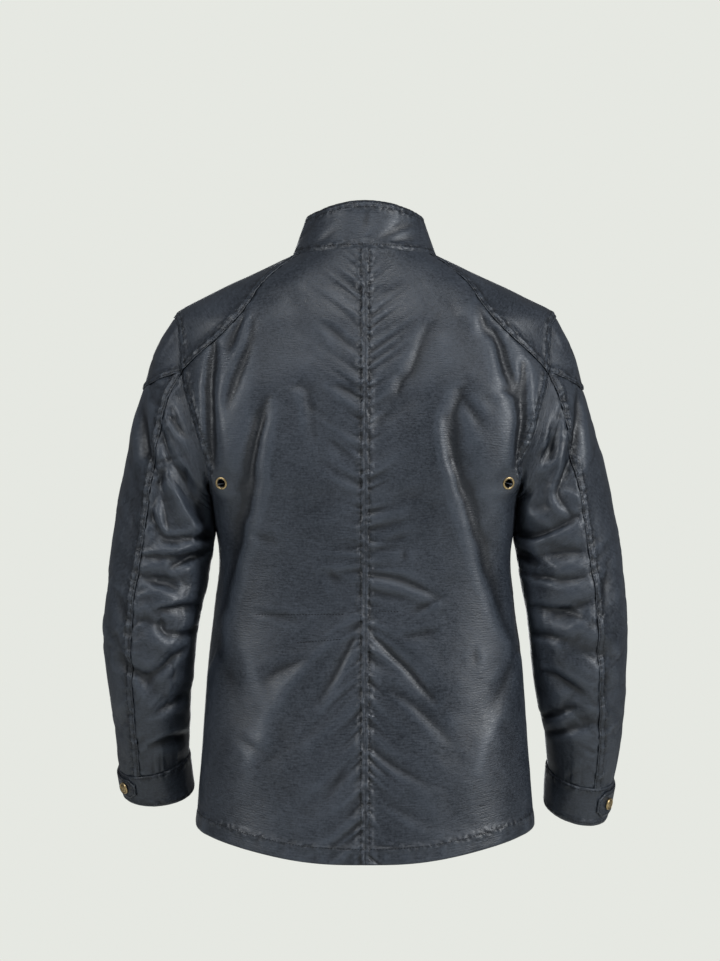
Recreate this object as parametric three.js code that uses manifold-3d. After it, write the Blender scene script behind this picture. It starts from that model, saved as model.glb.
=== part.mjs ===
// A waxed cotton jacket in the hollow form it keeps on a wearer, open at the neck, hem and cuffs.
// Millimetres, +Z up. The back faces +Y, the zipped front -Y, and the wearer's left is +X.
// The origin is the middle of the neck, level with the collar seam at the centre of the back.
import * as THREE from 'three';
import { mergeVertices } from 'three/addons/utils/BufferGeometryUtils.js';
import Module from 'manifold-3d';

// Cloth and seams
const WALL = 2; // doubled waxed cotton with its seam allowances
const COLLAR_WALL = 3.6;
const CUFF_WALL = 3;
const SEAM_GAP = 0.34; // between the edges of two pieces that are sewn together
const LAY_GAP = 0.3; // between a panel and what lies on it

// Lengths below the collar seam at the centre of the back
const HEM_BACK = 741;
const HEM_SIDE = 703;
const HEM_FRONT = 712;
const HEM_CURVE = 3.35; // how late the back hem rises towards the sides
const NECK_SIDE = 5;
const NECK_FRONT = 60;

// Angles round the body: 0 is the wearer's left side, 90 the centre of the back, -90 the front
const YOKE_BACK_DEG = 23; // where the shoulder piece meets the collar, behind the shoulder line
const YOKE_FRONT_DEG = -31;
const FRONT_EDGE_X = 6; // half of the zip's opening

// Level sections through the body: depth below the origin, half width, reach to back and front, and how
// square the corners of each side are (2 is an ellipse)
const bodySections = [
  { at: -12, half: 74, back: 67, front: 54, backSquare: 2.1, frontSquare: 2.1 },
  { at: 0, half: 84, back: 72, front: 60, backSquare: 2.1, frontSquare: 2.1 },
  { at: 7, half: 89, back: 74.5, front: 63, backSquare: 2.1, frontSquare: 2.1 },
  { at: 13, half: 101, back: 76, front: 65, backSquare: 2.1, frontSquare: 2.1 },
  { at: 25, half: 126, back: 79, front: 69, backSquare: 2.15, frontSquare: 2.15 },
  { at: 50, half: 179, back: 87, front: 76, backSquare: 2.2, frontSquare: 2.2 },
  { at: 64, half: 207, back: 91, front: 80, backSquare: 2.2, frontSquare: 2.2 },
  { at: 74, half: 226, back: 95, front: 85, backSquare: 2.25, frontSquare: 2.25 },
  { at: 82, half: 233, back: 98, front: 88, backSquare: 2.3, frontSquare: 2.25 },
  { at: 106, half: 237, back: 104, front: 97, backSquare: 2.4, frontSquare: 2.3 },
  { at: 130, half: 238, back: 110, front: 106, backSquare: 2.6, frontSquare: 2.35 },
  { at: 160, half: 235, back: 116, front: 115, backSquare: 3, frontSquare: 2.45 },
  { at: 195, half: 228, back: 119, front: 121, backSquare: 3.5, frontSquare: 2.5 },
  { at: 225, half: 218, back: 121, front: 125, backSquare: 4, frontSquare: 2.6 },
  { at: 252, half: 207, back: 121, front: 127, backSquare: 4.2, frontSquare: 2.6 },
  { at: 275, half: 197, back: 120, front: 128, backSquare: 4.2, frontSquare: 2.6 },
  { at: 294, half: 188, back: 119, front: 128, backSquare: 4, frontSquare: 2.6 },
  { at: 312, half: 182.5, back: 118, front: 127.5, backSquare: 3.8, frontSquare: 2.6 },
  { at: 330, half: 180, back: 117, front: 127, backSquare: 3.7, frontSquare: 2.6 },
  { at: 369, half: 177.5, back: 114, front: 125, backSquare: 3.4, frontSquare: 2.6 },
  { at: 442, half: 184, back: 112, front: 123, backSquare: 3.1, frontSquare: 2.6 },
  { at: 491, half: 190, back: 114, front: 124, backSquare: 3, frontSquare: 2.55 },
  { at: 565, half: 196, back: 120, front: 128, backSquare: 2.9, frontSquare: 2.5 },
  { at: 638, half: 202, back: 128, front: 133, backSquare: 2.8, frontSquare: 2.45 },
  { at: 700, half: 206.5, back: 133, front: 137, backSquare: 2.7, frontSquare: 2.4 },
  { at: 760, half: 210, back: 138, front: 142, backSquare: 2.7, frontSquare: 2.4 },
];

// The armhole seam from the shoulder point to the armpit, by its distance from the centre line
const armholeSeam = [
  { down: 82.5, back: 233.5, front: 233.5 },
  { down: 90, back: 229.5, front: 228.5 },
  { down: 106, back: 226.5, front: 224.5 },
  { down: 130, back: 224.5, front: 220.5 },
  { down: 153.5, back: 222, front: 216.5 },
  { down: 175, back: 218.3, front: 211 },
  { down: 195, back: 212, front: 205 },
  { down: 222, back: 204.5, front: 198 },
  { down: 251, back: 194.5, front: 190.5 },
  { down: 273, back: 189, front: 187.2 },
  { down: 287, back: 187.6, front: 187 },
  { down: 294, back: 189, front: 189 },
];
const YOKE_ROW = 4; // the row of the armhole seam where the shoulder piece ends

// The seams of the shoulder piece, from the armhole up to the collar
const yokeSeamBack = [
  { down: 153.5, x: 222 },
  { down: 131, x: 201.4 },
  { down: 107, x: 174 },
  { down: 77.5, x: 147 },
  { down: 40, x: 121.3 },
  { down: 18, x: 96 },
];
const yokeSeamFront = [
  { down: 153.5, x: 216.5 },
  { down: 134, x: 203 },
  { down: 111, x: 182 },
  { down: 85, x: 156 },
  { down: 57, x: 127 },
  { down: 31, x: 99 },
];

// Sections of a sleeve from armhole to cuff seam: the outer and the inner point seen from behind,
// the reach forwards and backwards, the middle's place in Y, and how far the back of it tips down
const sleeveSections = {
  left: [
    { outX: 233.5, outZ: -82.5, inX: 189, inZ: -294, deep: 68, y: 0, tip: 0 },
    { outX: 257, outZ: -123, inX: 193, inZ: -305, deep: 74, y: 2, tip: 0 },
    { outX: 272.5, outZ: -172, inX: 193, inZ: -319, deep: 75, y: 2, tip: 0 },
    { outX: 287, outZ: -221, inX: 191.5, inZ: -336, deep: 75, y: 3, tip: 0 },
    { outX: 295, outZ: -270, inX: 190, inZ: -357, deep: 73, y: 4, tip: 0 },
    { outX: 304, outZ: -319, inX: 188.5, inZ: -383, deep: 70, y: 6, tip: 1 },
    { outX: 311, outZ: -368, inX: 192.5, inZ: -412, deep: 68, y: 8, tip: 3 },
    { outX: 317.5, outZ: -412, inX: 200, inZ: -440, deep: 66, y: 9, tip: 6 },
    { outX: 320.5, outZ: -460, inX: 206, inZ: -478, deep: 64, y: 6, tip: 10 },
    { outX: 319, outZ: -505, inX: 210.5, inZ: -515, deep: 61, y: -3, tip: 14 },
    { outX: 314, outZ: -548, inX: 214, inZ: -550, deep: 58, y: -16, tip: 17 },
    { outX: 308.5, outZ: -592, inX: 216.5, inZ: -584, deep: 54, y: -32, tip: 19 },
    { outX: 304.5, outZ: -636, inX: 217.5, inZ: -618, deep: 50, y: -50, tip: 20 },
  ],
  right: [
    { outX: 233.5, outZ: -82.5, inX: 189, inZ: -294, deep: 68, y: 0, tip: 0 },
    { outX: 254, outZ: -123, inX: 193, inZ: -305, deep: 74, y: 2, tip: 0 },
    { outX: 268, outZ: -172, inX: 193, inZ: -319, deep: 75, y: 2, tip: 0 },
    { outX: 282, outZ: -221, inX: 191, inZ: -336, deep: 75, y: 3, tip: 0 },
    { outX: 294, outZ: -270, inX: 189, inZ: -357, deep: 73, y: 4, tip: 0 },
    { outX: 304, outZ: -319, inX: 187, inZ: -383, deep: 70, y: 6, tip: 1 },
    { outX: 313, outZ: -368, inX: 191, inZ: -413, deep: 68, y: 8, tip: 3 },
    { outX: 319, outZ: -414, inX: 197, inZ: -442, deep: 66, y: 9, tip: 6 },
    { outX: 321, outZ: -463, inX: 202, inZ: -481, deep: 64, y: 6, tip: 10 },
    { outX: 321.5, outZ: -512, inX: 207.5, inZ: -521, deep: 61, y: -3, tip: 14 },
    { outX: 320.5, outZ: -560, inX: 214, inZ: -558, deep: 58, y: -16, tip: 17 },
    { outX: 316, outZ: -606, inX: 221.5, inZ: -596, deep: 54, y: -32, tip: 19 },
    { outX: 308.5, outZ: -650, inX: 226, inZ: -633, deep: 50, y: -50, tip: 20 },
  ],
};
const ARMHOLE_FADE = 0.3; // share of the sleeve over which the armhole's outline turns into an oval
const CAP_DEEP = 1 / 6; // how far the shoulder patch runs down the sleeve, as a share of it
const CAP_CURVE = 2.2;
const SLEEVE_FRONT_SEAM = 14; // step round the armhole where the hidden front seam starts

// The cuff's lower edge, in the same columns as a sleeve section
const cuffHems = {
  left: { outX: 299.5, outZ: -669.5, inX: 212.5, inZ: -664, deep: 50, y: -62, tip: 20 },
  right: { outX: 300.5, outZ: -697.5, inX: 223, inZ: -681, deep: 50, y: -62, tip: 20 },
};
const CUFF_PROUD = 1.2;
const CUFF_START = 0.012; // the gap at the cuff's seam, as a share of its height

// The strap of each cuff, by its angle round the wrist (0 outside, 90 at the back), and its stud
const cuffTabs = {
  left: { from: -45, to: 60, stud: 38, level: 0.47 },
  right: { from: -45, to: 60, stud: 36, level: 0.47 },
};
const TAB_HEIGHT_SHARE = 0.66;
const TAB_THICK = 2.4;
const TAB_CORNER = 0.14; // share of the strap's length over which its end is cut back
const STUD_RADIUS = 7.5;

// Collar
const COLLAR_TOP_HALF = 69;
const COLLAR_TOP_BACK = 61;
const COLLAR_TOP_FRONT = 66;
const COLLAR_TOP_Z = { back: 57, side: 42, front: -4 };
const COLLAR_END_DEG = { seam: 4.6, top: 11 }; // each end's angle from the centre of the front

// Air eyelets under the arms
const EYELET_X = 172;
const EYELET_DOWN = 286;
const EYELET_RADIUS = 7.5;
const EYELET_HOLE = 4;
const EYELET_BARREL = 4.7;
const EYELET_CLEAR = 25; // no fold runs closer than this

// Patch pockets on the fronts. They share the grid of their panel: its columns from the zip's edge,
// and its levels from the hem
const POCKET_COLUMNS = [2, 7];
const POCKET_LEVELS = [1, 7];
const FLAP_LEVELS = [5, 7];
const POCKET_WALL = 1.8;

// Zip
const TAPE = { from: 3.4, to: 20, thick: 1, top: 66, lift: 5, gap: 0.5 };
const CHAIN = { half: 2.8, thick: 3, top: 79 };
const SLIDER = { half: 4.5, plate: 1.4, low: -8, high: 7, bridge: 3, down: 76 };
const BAIL = { thick: 2.4, half: 3.5, tall: 4.1, hole: 1.3, pinOut: 2.2 };
const PULL = { pin: 0.8, window: 1.9, arm: 1.7, windowLong: 5.2, long: 30, grip: 7 };
const PULL_SIDES = 10;

// The largest folds of the cloth: a path by X and depth below the origin, width, and depth inwards
const backFolds = [
  { path: [[176, 112], [186, 170], [184, 262]], width: 13, deep: 6 },
  { path: [[118, 196], [134, 232], [148, 290], [160, 392]], width: 16, deep: 7 },
  { path: [[150, 130], [172, 188]], width: 14, deep: 3 },
  { path: [[188, 470], [150, 556]], width: 17, deep: 4 },
  { path: [[14, 470], [52, 556]], width: 15, deep: 3 },
  { path: [[120, 586], [152, 640]], width: 16, deep: -3 },
  { path: [[-150, 92], [-184, 176], [-184, 262]], width: 13, deep: 6 },
  { path: [[-112, 176], [-100, 214], [-122, 300], [-182, 478]], width: 16, deep: 7 },
  { path: [[-76, 90], [-28, 208]], width: 20, deep: 4 },
  { path: [[-12, 468], [-44, 484], [-88, 552]], width: 15, deep: 3 },
  { path: [[-168, 560], [-128, 640]], width: 17, deep: -3 },
];
const frontFolds = [
  { path: [[176, 116], [168, 190], [178, 262]], width: 14, deep: 6 },
  { path: [[92, 250], [120, 330], [150, 440]], width: 18, deep: 5 },
  { path: [[60, 120], [110, 190]], width: 18, deep: 3 },
  { path: [[-170, 110], [-166, 192], [-180, 262]], width: 14, deep: 6 },
  { path: [[-84, 236], [-118, 320], [-156, 452]], width: 18, deep: 5 },
  { path: [[-56, 130], [-104, 204]], width: 18, deep: 3 },
];
const FOLD_SIDE_FADE = 45; // folds die out this close to the side seam, measured in Y

// Folds of a sleeve: step round the armhole and share of the way down, at each end of the fold
const sleeveFolds = {
  left: [
    { path: [[1.5, 0.2], [5.5, 0.3]], width: 16, deep: 5 },
    { path: [[4.2, 0.52], [8.5, 0.5]], width: 13, deep: 6 },
    { path: [[4.6, 0.62], [9, 0.62]], width: 12, deep: 5 },
    { path: [[3, 0.72], [7.5, 0.78]], width: 13, deep: 5 },
    { path: [[16, 0.2], [18.5, 0.42]], width: 16, deep: 4 },
    { path: [[15, 0.55], [19, 0.6]], width: 14, deep: 5 },
    { path: [[0.4, 0.55], [-1.6, 0.72]], width: 16, deep: 3 },
  ],
  right: [
    { path: [[2, 0.16], [5.2, 0.3]], width: 15, deep: 5 },
    { path: [[4.4, 0.46], [8.5, 0.43]], width: 13, deep: 6 },
    { path: [[4.6, 0.58], [9, 0.6]], width: 12, deep: 6 },
    { path: [[3, 0.7], [7.5, 0.66]], width: 13, deep: 5 },
    { path: [[3.5, 0.85], [7.5, 0.82]], width: 12, deep: 4 },
    { path: [[16, 0.22], [18.5, 0.4]], width: 16, deep: 4 },
    { path: [[15, 0.52], [19, 0.58]], width: 14, deep: 5 },
  ],
};
const SLEEVE_FOLD_START = 0.06; // no fold closer to the armhole than this share of the sleeve
const SLEEVE_LONG = 540; // from shoulder point to cuff seam
const STEP_WIDE = 20; // a step round the armhole, measured along the sleeve's girth

// How finely the pieces are made. The levels run up the side seam, from above the hem to the armpit,
// and take in the edges of the pocket and its flap
const sideLevels = [678, 654, 631, 608, 584, 555, 526, 497, 468, 438, 408, 380, 352, 323, 294];
const POCKET_TOP = 526;
const BACK_COLUMNS = 10;
const FRONT_COLUMNS = 8;
const SLEEVE_ROWS = 20;
const CAP_ROWS = 3;
const COLLAR_COLUMNS = 36;
const COLLAR_ROWS = 3;
const CUFF_ROWS = 2;
const CUFF_COLUMNS = 24;

const ARMHOLE_STEPS = 2 * (armholeSeam.length - 1);
const ARMPIT_STEP = armholeSeam.length - 1;
const rad = THREE.MathUtils.degToRad;
const lerp = THREE.MathUtils.lerp;
const smooth = (x) => THREE.MathUtils.smoothstep(x, 0, 1);
const UP = new THREE.Vector3(0, 0, 1);

const cloth = () => new THREE.MeshStandardMaterial({ color: 0x3c424a, roughness: 0.5 });
const tapeCloth = () => new THREE.MeshStandardMaterial({ color: 0x23262b, roughness: 0.8 });
const brass = () => new THREE.MeshStandardMaterial({ color: 0xaa8746, roughness: 0.35, metalness: 1 });

// One column of a table at a place between its rows, smooth through each row
function between(table, key, at) {
  const last = table.length - 1;
  let k = 0;
  while (k < last - 1 && at > table[k + 1].at) k += 1;
  const step = (i) => table[i + 1].at - table[i].at;
  const rise = (i) => (table[i + 1][key] - table[i][key]) / step(i);
  const slope = (i) => {
    if (i === 0) return rise(0);
    if (i === last) return rise(last - 1);
    return (rise(i) * step(i - 1) + rise(i - 1) * step(i)) / (step(i - 1) + step(i));
  };
  const t = (at - table[k].at) / step(k);
  const ease = 3 * t ** 2 - 2 * t ** 3;
  const hermite = (1 - ease) * table[k][key] + ease * table[k + 1][key];
  return hermite + step(k) * ((t ** 3 - 2 * t ** 2 + t) * slope(k) + (t ** 3 - t ** 2) * slope(k + 1));
}

// A value of evenly spaced rows at a place between them, on a ring of rows or from end to end
function along(values, at, closed = false) {
  const count = values.length;
  const pick = (i) => values[closed ? ((i % count) + count) % count : Math.min(Math.max(i, 0), count - 1)];
  const k = closed ? Math.floor(at) : Math.min(Math.max(Math.floor(at), 0), count - 2);
  const t = at - k;
  const [a, b, c, d] = [pick(k - 1), pick(k), pick(k + 1), pick(k + 2)];
  return b + 0.5 * t * (c - a + t * (2 * a - 5 * b + 4 * c - d + t * (3 * (b - c) + d - a)));
}

// Depth of all the folds at a place, each a soft trough that fades at both of its ends
function foldDepth(folds, x, y, stretchX = 1, stretchY = 1) {
  let deepest = 0;
  for (const fold of folds) {
    let nearest = Infinity;
    let place = 0;
    const pieces = fold.path.length - 1;
    for (let i = 0; i < pieces; i += 1) {
      const [x0, y0] = fold.path[i];
      const dx = (fold.path[i + 1][0] - x0) * stretchX;
      const dy = (fold.path[i + 1][1] - y0) * stretchY;
      const px = (x - x0) * stretchX;
      const py = (y - y0) * stretchY;
      const t = THREE.MathUtils.clamp((px * dx + py * dy) / (dx * dx + dy * dy), 0, 1);
      const off = Math.hypot(px - t * dx, py - t * dy);
      if (off < nearest) {
        nearest = off;
        place = (i + t) / pieces;
      }
    }
    const ends = Math.sin(Math.PI * (0.12 + 0.76 * place)) ** 0.8;
    deepest += fold.deep * ends * Math.exp(-((nearest / fold.width) ** 2));
  }
  return deepest;
}

// The body's smooth surface, and the angle at which a level section has a given half width
function smoothBody(deg, z) {
  const face = Math.sin(rad(deg)) > 0 ? 'back' : 'front';
  const c = Math.abs(Math.cos(rad(deg))) / between(bodySections, 'half', -z);
  const s = Math.abs(Math.sin(rad(deg))) / between(bodySections, face, -z);
  const n = between(bodySections, `${face}Square`, -z);
  const radius = (c ** n + s ** n) ** (-1 / n);
  return new THREE.Vector3(radius * Math.cos(rad(deg)), radius * Math.sin(rad(deg)), z);
}
function bodyNormal(deg, z) {
  const across = smoothBody(deg + 0.5, z).sub(smoothBody(deg - 0.5, z));
  const up = smoothBody(deg, z + 0.5).sub(smoothBody(deg, z - 0.5));
  return across.cross(up).normalize();
}
function bodyAngle(x, down, isBack) {
  const face = isBack ? 'back' : 'front';
  const half = between(bodySections, 'half', down);
  const n = between(bodySections, `${face}Square`, down);
  const reach = between(bodySections, face, down);
  const y = reach * Math.max(0, 1 - Math.min(1, x / half) ** n) ** (1 / n);
  return THREE.MathUtils.radToDeg(Math.atan2(isBack ? y : -y, x));
}

// The body with its folds. The side is +1 for the wearer's left and -1 for the right
function bodyPoint(side, deg, z) {
  const point = smoothBody(deg, z);
  const folds = point.y > 0 ? backFolds : frontFolds;
  const eyelet = Math.hypot(point.x - EYELET_X, z + EYELET_DOWN) / EYELET_CLEAR;
  const calm = smooth(Math.abs(point.y) / FOLD_SIDE_FADE) * (point.y > 0 ? 1 - Math.exp(-(eyelet ** 2)) : 1);
  point.addScaledVector(bodyNormal(deg, z), -calm * foldDepth(folds, side * point.x, -z));
  return point;
}

function neckZ(deg) {
  if (deg >= 0) return -NECK_SIDE * Math.cos(rad(deg)) ** 2;
  const way = (1 - Math.cos(Math.PI * (Math.min(-deg, 90) / 90) ** 1.3)) / 2;
  return lerp(-NECK_SIDE, -NECK_FRONT, way);
}
function hemZ(deg) {
  if (deg >= 0) return -HEM_BACK + (HEM_BACK - HEM_SIDE) * Math.cos(rad(deg)) ** HEM_CURVE;
  return -HEM_SIDE - (HEM_FRONT - HEM_SIDE) * Math.sin(rad(deg)) ** 2;
}

// The armhole as a ring: step 0 is the shoulder point, then down the back to the armpit and up the front
const armholeRing = Array.from({ length: ARMHOLE_STEPS }, (_, k) => {
  const isBack = k <= ARMPIT_STEP;
  const row = armholeSeam[isBack ? k : ARMHOLE_STEPS - k];
  const deg = bodyAngle(isBack ? row.back : row.front, row.down, isBack);
  return { deg, z: -row.down };
});
function armholePlace(step) {
  return [
    along(armholeRing.map((row) => row.deg), step, true),
    along(armholeRing.map((row) => row.z), step, true),
  ];
}

// A sleeve's surface, by step round the armhole and share of the way from armhole to cuff seam
function sleeveRow(section) {
  const outer = new THREE.Vector3(section.outX, section.y, section.outZ);
  const inner = new THREE.Vector3(section.inX, section.y, section.inZ);
  const back = new THREE.Vector3(0, Math.cos(rad(section.tip)), -Math.sin(rad(section.tip)));
  return {
    middle: outer.clone().add(inner).multiplyScalar(0.5),
    half: outer.clone().sub(inner).multiplyScalar(0.5),
    back: back.multiplyScalar(section.deep),
  };
}
function ringPoint({ middle, half, back }, phi) {
  return middle.clone().addScaledVector(half, Math.cos(phi)).addScaledVector(back, Math.sin(phi));
}
function stepAngle(step) {
  const { middle, half, back } = sleeveRow(sleeveSections.left[0]);
  const place = (k) => {
    const point = smoothBody(armholeRing[k].deg, armholeRing[k].z).sub(middle);
    const turn = Math.atan2(point.dot(back) / back.lengthSq(), point.dot(half) / half.lengthSq());
    return k === 0 ? 0 : (turn + 2 * Math.PI) % (2 * Math.PI);
  };
  const turns = Math.floor(step / ARMHOLE_STEPS);
  const k = Math.floor(step) - turns * ARMHOLE_STEPS;
  const start = place(k);
  const end = k + 1 === ARMHOLE_STEPS ? 2 * Math.PI : place(k + 1);
  return lerp(start, end, step - Math.floor(step)) + 2 * Math.PI * turns;
}
function smoothSleeve(side, step, share) {
  const name = side > 0 ? 'left' : 'right';
  const rows = sleeveSections[name];
  const section = {};
  for (const key of Object.keys(rows[0])) {
    section[key] = along(rows.map((row) => row[key]), share * (rows.length - 1));
  }
  const phi = stepAngle(step);
  const point = ringPoint(sleeveRow(section), phi);
  if (share < ARMHOLE_FADE) {
    const seam = bodyPoint(side, ...armholePlace(step));
    seam.sub(ringPoint(sleeveRow(rows[0]), phi));
    point.addScaledVector(seam, (1 - share / ARMHOLE_FADE) ** 2);
  }
  return point;
}
function sleeveNormal(side, step, share) {
  const low = Math.max(share, 0.01);
  const around = smoothSleeve(side, step + 0.2, low).sub(smoothSleeve(side, step - 0.2, low));
  const down = smoothSleeve(side, step, Math.min(low + 0.01, 1)).sub(smoothSleeve(side, step, low - 0.01));
  return down.cross(around).normalize();
}
function sleevePoint(side, step, share) {
  const point = smoothSleeve(side, step, share);
  const folds = sleeveFolds[side > 0 ? 'left' : 'right'];
  const turn = ((step % ARMHOLE_STEPS) + ARMHOLE_STEPS) % ARMHOLE_STEPS;
  const depth = foldDepth(folds, turn, share, STEP_WIDE, SLEEVE_LONG)
    + foldDepth(folds, turn - ARMHOLE_STEPS, share, STEP_WIDE, SLEEVE_LONG);
  const calm = smooth((share - SLEEVE_FOLD_START) / 0.1) * smooth((1 - share) / 0.06);
  return point.addScaledVector(sleeveNormal(side, step, share), -calm * depth);
}

// Along a seam that bends, both pieces share the direction in which their edges are cut
function armholeCut(side, step) {
  const body = bodyNormal(...armholePlace(step));
  const sleeve = sleeveNormal(side, step, 0);
  const facing = Math.max(0, -body.dot(sleeve));
  return body.add(sleeve).addScaledVector(UP, -0.8 * facing).normalize();
}
function neckCut(deg) {
  const seam = neckZ(deg);
  return bodyNormal(deg, seam).add(collarNormal(deg)).normalize();
}

// The collar's surface, from its seam to its top edge
function collarTop(deg) {
  const z = deg >= 0
    ? lerp(COLLAR_TOP_Z.side, COLLAR_TOP_Z.back, Math.sin(rad(deg)) ** 2)
    : lerp(COLLAR_TOP_Z.side, COLLAR_TOP_Z.front, (1 - Math.cos(Math.PI * (-deg / 90) ** 1.3)) / 2);
  const reach = deg >= 0 ? COLLAR_TOP_BACK : COLLAR_TOP_FRONT;
  return new THREE.Vector3(COLLAR_TOP_HALF * Math.cos(rad(deg)), reach * Math.sin(rad(deg)), z);
}
function collarNormal(deg) {
  const lift = collarTop(deg).sub(smoothBody(deg, neckZ(deg)));
  const across = smoothBody(deg + 0.5, neckZ(deg)).sub(smoothBody(deg - 0.5, neckZ(deg)));
  return across.cross(lift).normalize();
}

// A wall between a grid of outer points and the same points moved in. An edge in `seams` is drawn
// back by half of the gap that parts two sewn pieces. A side whose points meet closes to a corner.
function wallGeometry({ columns, rows, point, normal, wall = WALL, seams = '', ring = false }) {
  const outer = [];
  const facing = [];
  for (let i = 0; i <= columns; i += 1) {
    outer.push(Array.from({ length: rows + 1 }, (_, j) => point(i, j)));
    facing.push(Array.from({ length: rows + 1 }, (_, j) => normal(i, j)));
  }
  const drawn = outer.map((line) => line.map((p) => p.clone()));
  const drawBack = (i, j, towards, beside) => {
    const n = facing[i][j];
    const seam = beside.clone().addScaledVector(n, -beside.dot(n));
    if (seam.length() < 0.01) {
      drawn[i][j].addScaledVector(towards.clone().normalize(), SEAM_GAP);
      return;
    }
    seam.normalize();
    const away = towards.clone().addScaledVector(n, -towards.dot(n));
    away.addScaledVector(seam, -away.dot(seam)).normalize();
    drawn[i][j].addScaledVector(away, SEAM_GAP / 2);
  };
  const gap = (a, b) => outer[b[0]][b[1]].clone().sub(outer[a[0]][a[1]]);
  for (let j = 0; j <= rows; j += 1) {
    const beside = gap([0, Math.max(j - 1, 0)], [0, Math.min(j + 1, rows)]);
    const besideEnd = gap([columns, Math.max(j - 1, 0)], [columns, Math.min(j + 1, rows)]);
    if (seams.includes('l')) drawBack(0, j, gap([0, j], [1, j]), beside);
    if (seams.includes('r')) drawBack(columns, j, gap([columns, j], [columns - 1, j]), besideEnd);
  }
  for (let i = 0; i <= columns; i += 1) {
    const beside = gap([Math.max(i - 1, 0), 0], [Math.min(i + 1, columns), 0]);
    const besideEnd = gap([Math.max(i - 1, 0), rows], [Math.min(i + 1, columns), rows]);
    const inside = outer[i][0].distanceTo(outer[i][1]) > 0.01;
    if (seams.includes('b') && inside) drawBack(i, 0, gap([i, 0], [i, 1]), beside);
    if (seams.includes('t') && inside) drawBack(i, rows, gap([i, rows], [i, rows - 1]), besideEnd);
  }
  const count = (columns + 1) * (rows + 1);
  const positions = new Float32Array(count * 2 * 3);
  for (let i = 0; i <= columns; i += 1) {
    for (let j = 0; j <= rows; j += 1) {
      const at = i * (rows + 1) + j;
      const thick = typeof wall === 'function' ? wall(i, j) : wall;
      drawn[i][j].toArray(positions, at * 3);
      drawn[i][j].clone().addScaledVector(facing[i][j], -thick).toArray(positions, (count + at) * 3);
    }
  }
  const middle = [Math.floor(columns / 2), Math.floor(rows / 2)];
  const along0 = gap(middle, [middle[0] + 1, middle[1]]);
  const along1 = gap(middle, [middle[0], middle[1] + 1]);
  const flip = along0.cross(along1).dot(facing[middle[0]][middle[1]]) < 0;
  const index = [];
  const quad = (a, b, c, d) => (flip ? index.push(a, c, b, a, d, c) : index.push(a, b, c, a, c, d));
  const id = (i, j, inner) => (inner ? count : 0) + i * (rows + 1) + j;
  for (let i = 0; i < columns; i += 1) {
    for (let j = 0; j < rows; j += 1) {
      quad(id(i, j), id(i + 1, j), id(i + 1, j + 1), id(i, j + 1));
      quad(id(i, j, 1), id(i, j + 1, 1), id(i + 1, j + 1, 1), id(i + 1, j, 1));
    }
    quad(id(i, 0, 1), id(i + 1, 0, 1), id(i + 1, 0), id(i, 0));
    quad(id(i, rows), id(i + 1, rows), id(i + 1, rows, 1), id(i, rows, 1));
  }
  for (let j = 0; j < rows && !ring; j += 1) {
    quad(id(0, j), id(0, j + 1), id(0, j + 1, 1), id(0, j, 1));
    quad(id(columns, j), id(columns, j, 1), id(columns, j + 1, 1), id(columns, j + 1));
  }
  return closedGeometry(positions, index);
}

// Vertices in the same place become one, and triangles that close up are left out
function closedGeometry(positions, index) {
  const geometry = new THREE.BufferGeometry();
  geometry.setAttribute('position', new THREE.BufferAttribute(positions, 3));
  geometry.setIndex(index);
  const merged = mergeVertices(geometry, 1e-2);
  const corners = merged.getIndex().array;
  const kept = [];
  for (let k = 0; k < corners.length; k += 3) {
    const [a, b, c] = [corners[k], corners[k + 1], corners[k + 2]];
    if (a !== b && b !== c && a !== c) kept.push(a, b, c);
  }
  merged.setIndex(kept);
  merged.computeVertexNormals();
  return merged;
}

// A patch of the body between four boundaries, each giving an angle and a height for its share.
// Its grid lines are shared by whatever lies on it.
function patchPlace({ columns, rows, left, right, bottom, top }, i, j) {
  const u = i / columns;
  const v = j / rows;
  return [0, 1].map((n) => {
    const edges = lerp(left(v)[n], right(v)[n], u) + lerp(bottom(u)[n], top(u)[n], v);
    return edges - lerp(lerp(bottom(0)[n], bottom(1)[n], u), lerp(top(0)[n], top(1)[n], u), v);
  });
}
const mirrored = (side, p) => p.setX(p.x * side);
function bodyPatch(side, patch) {
  return wallGeometry({
    columns: patch.columns,
    rows: patch.rows,
    seams: patch.seams,
    point: (i, j) => mirrored(side, bodyPoint(side, ...patchPlace(patch, i, j))),
    normal: (i, j) => mirrored(side, patch.cut(i, j) ?? bodyNormal(...patchPlace(patch, i, j))),
  });
}

const YOKE_ROWS = yokeSeamBack.length;
const SIDE_ROWS = sideLevels.length;
const ARMHOLE_ROWS = ARMPIT_STEP - YOKE_ROW;
const PANEL_ROWS = SIDE_ROWS + ARMHOLE_ROWS + YOKE_ROWS;

// The outer edge of a back or front panel: up the side seam, the armhole and the shoulder seam
function panelSide(v, isBack) {
  const row = Math.round(v * PANEL_ROWS);
  if (row === 0) return [0, hemZ(0)];
  if (row <= SIDE_ROWS) return [0, -sideLevels[row - 1]];
  const climbed = row - SIDE_ROWS;
  if (climbed <= ARMHOLE_ROWS) return armholePlace(isBack ? ARMPIT_STEP - climbed : ARMPIT_STEP + climbed);
  return yokeSeam(climbed - ARMHOLE_ROWS, isBack);
}
function yokeSeam(row, isBack) {
  const rows = isBack ? yokeSeamBack : yokeSeamFront;
  if (row === 0) return armholePlace(isBack ? YOKE_ROW : ARMHOLE_STEPS - YOKE_ROW);
  if (row === rows.length) {
    const deg = isBack ? YOKE_BACK_DEG : YOKE_FRONT_DEG;
    return [deg, neckZ(deg)];
  }
  return [bodyAngle(rows[row].x, rows[row].down, isBack), -rows[row].down];
}
function panelCut(side, columns, isBack, neckDeg) {
  return (i, j) => {
    const step = j - SIDE_ROWS;
    const onArmhole = i === columns && step >= 0 && step <= ARMHOLE_ROWS;
    if (onArmhole) return armholeCut(side, isBack ? ARMPIT_STEP - step : ARMPIT_STEP + step);
    return j === PANEL_ROWS ? neckCut(neckDeg(i / columns)) : null;
  };
}

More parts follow.
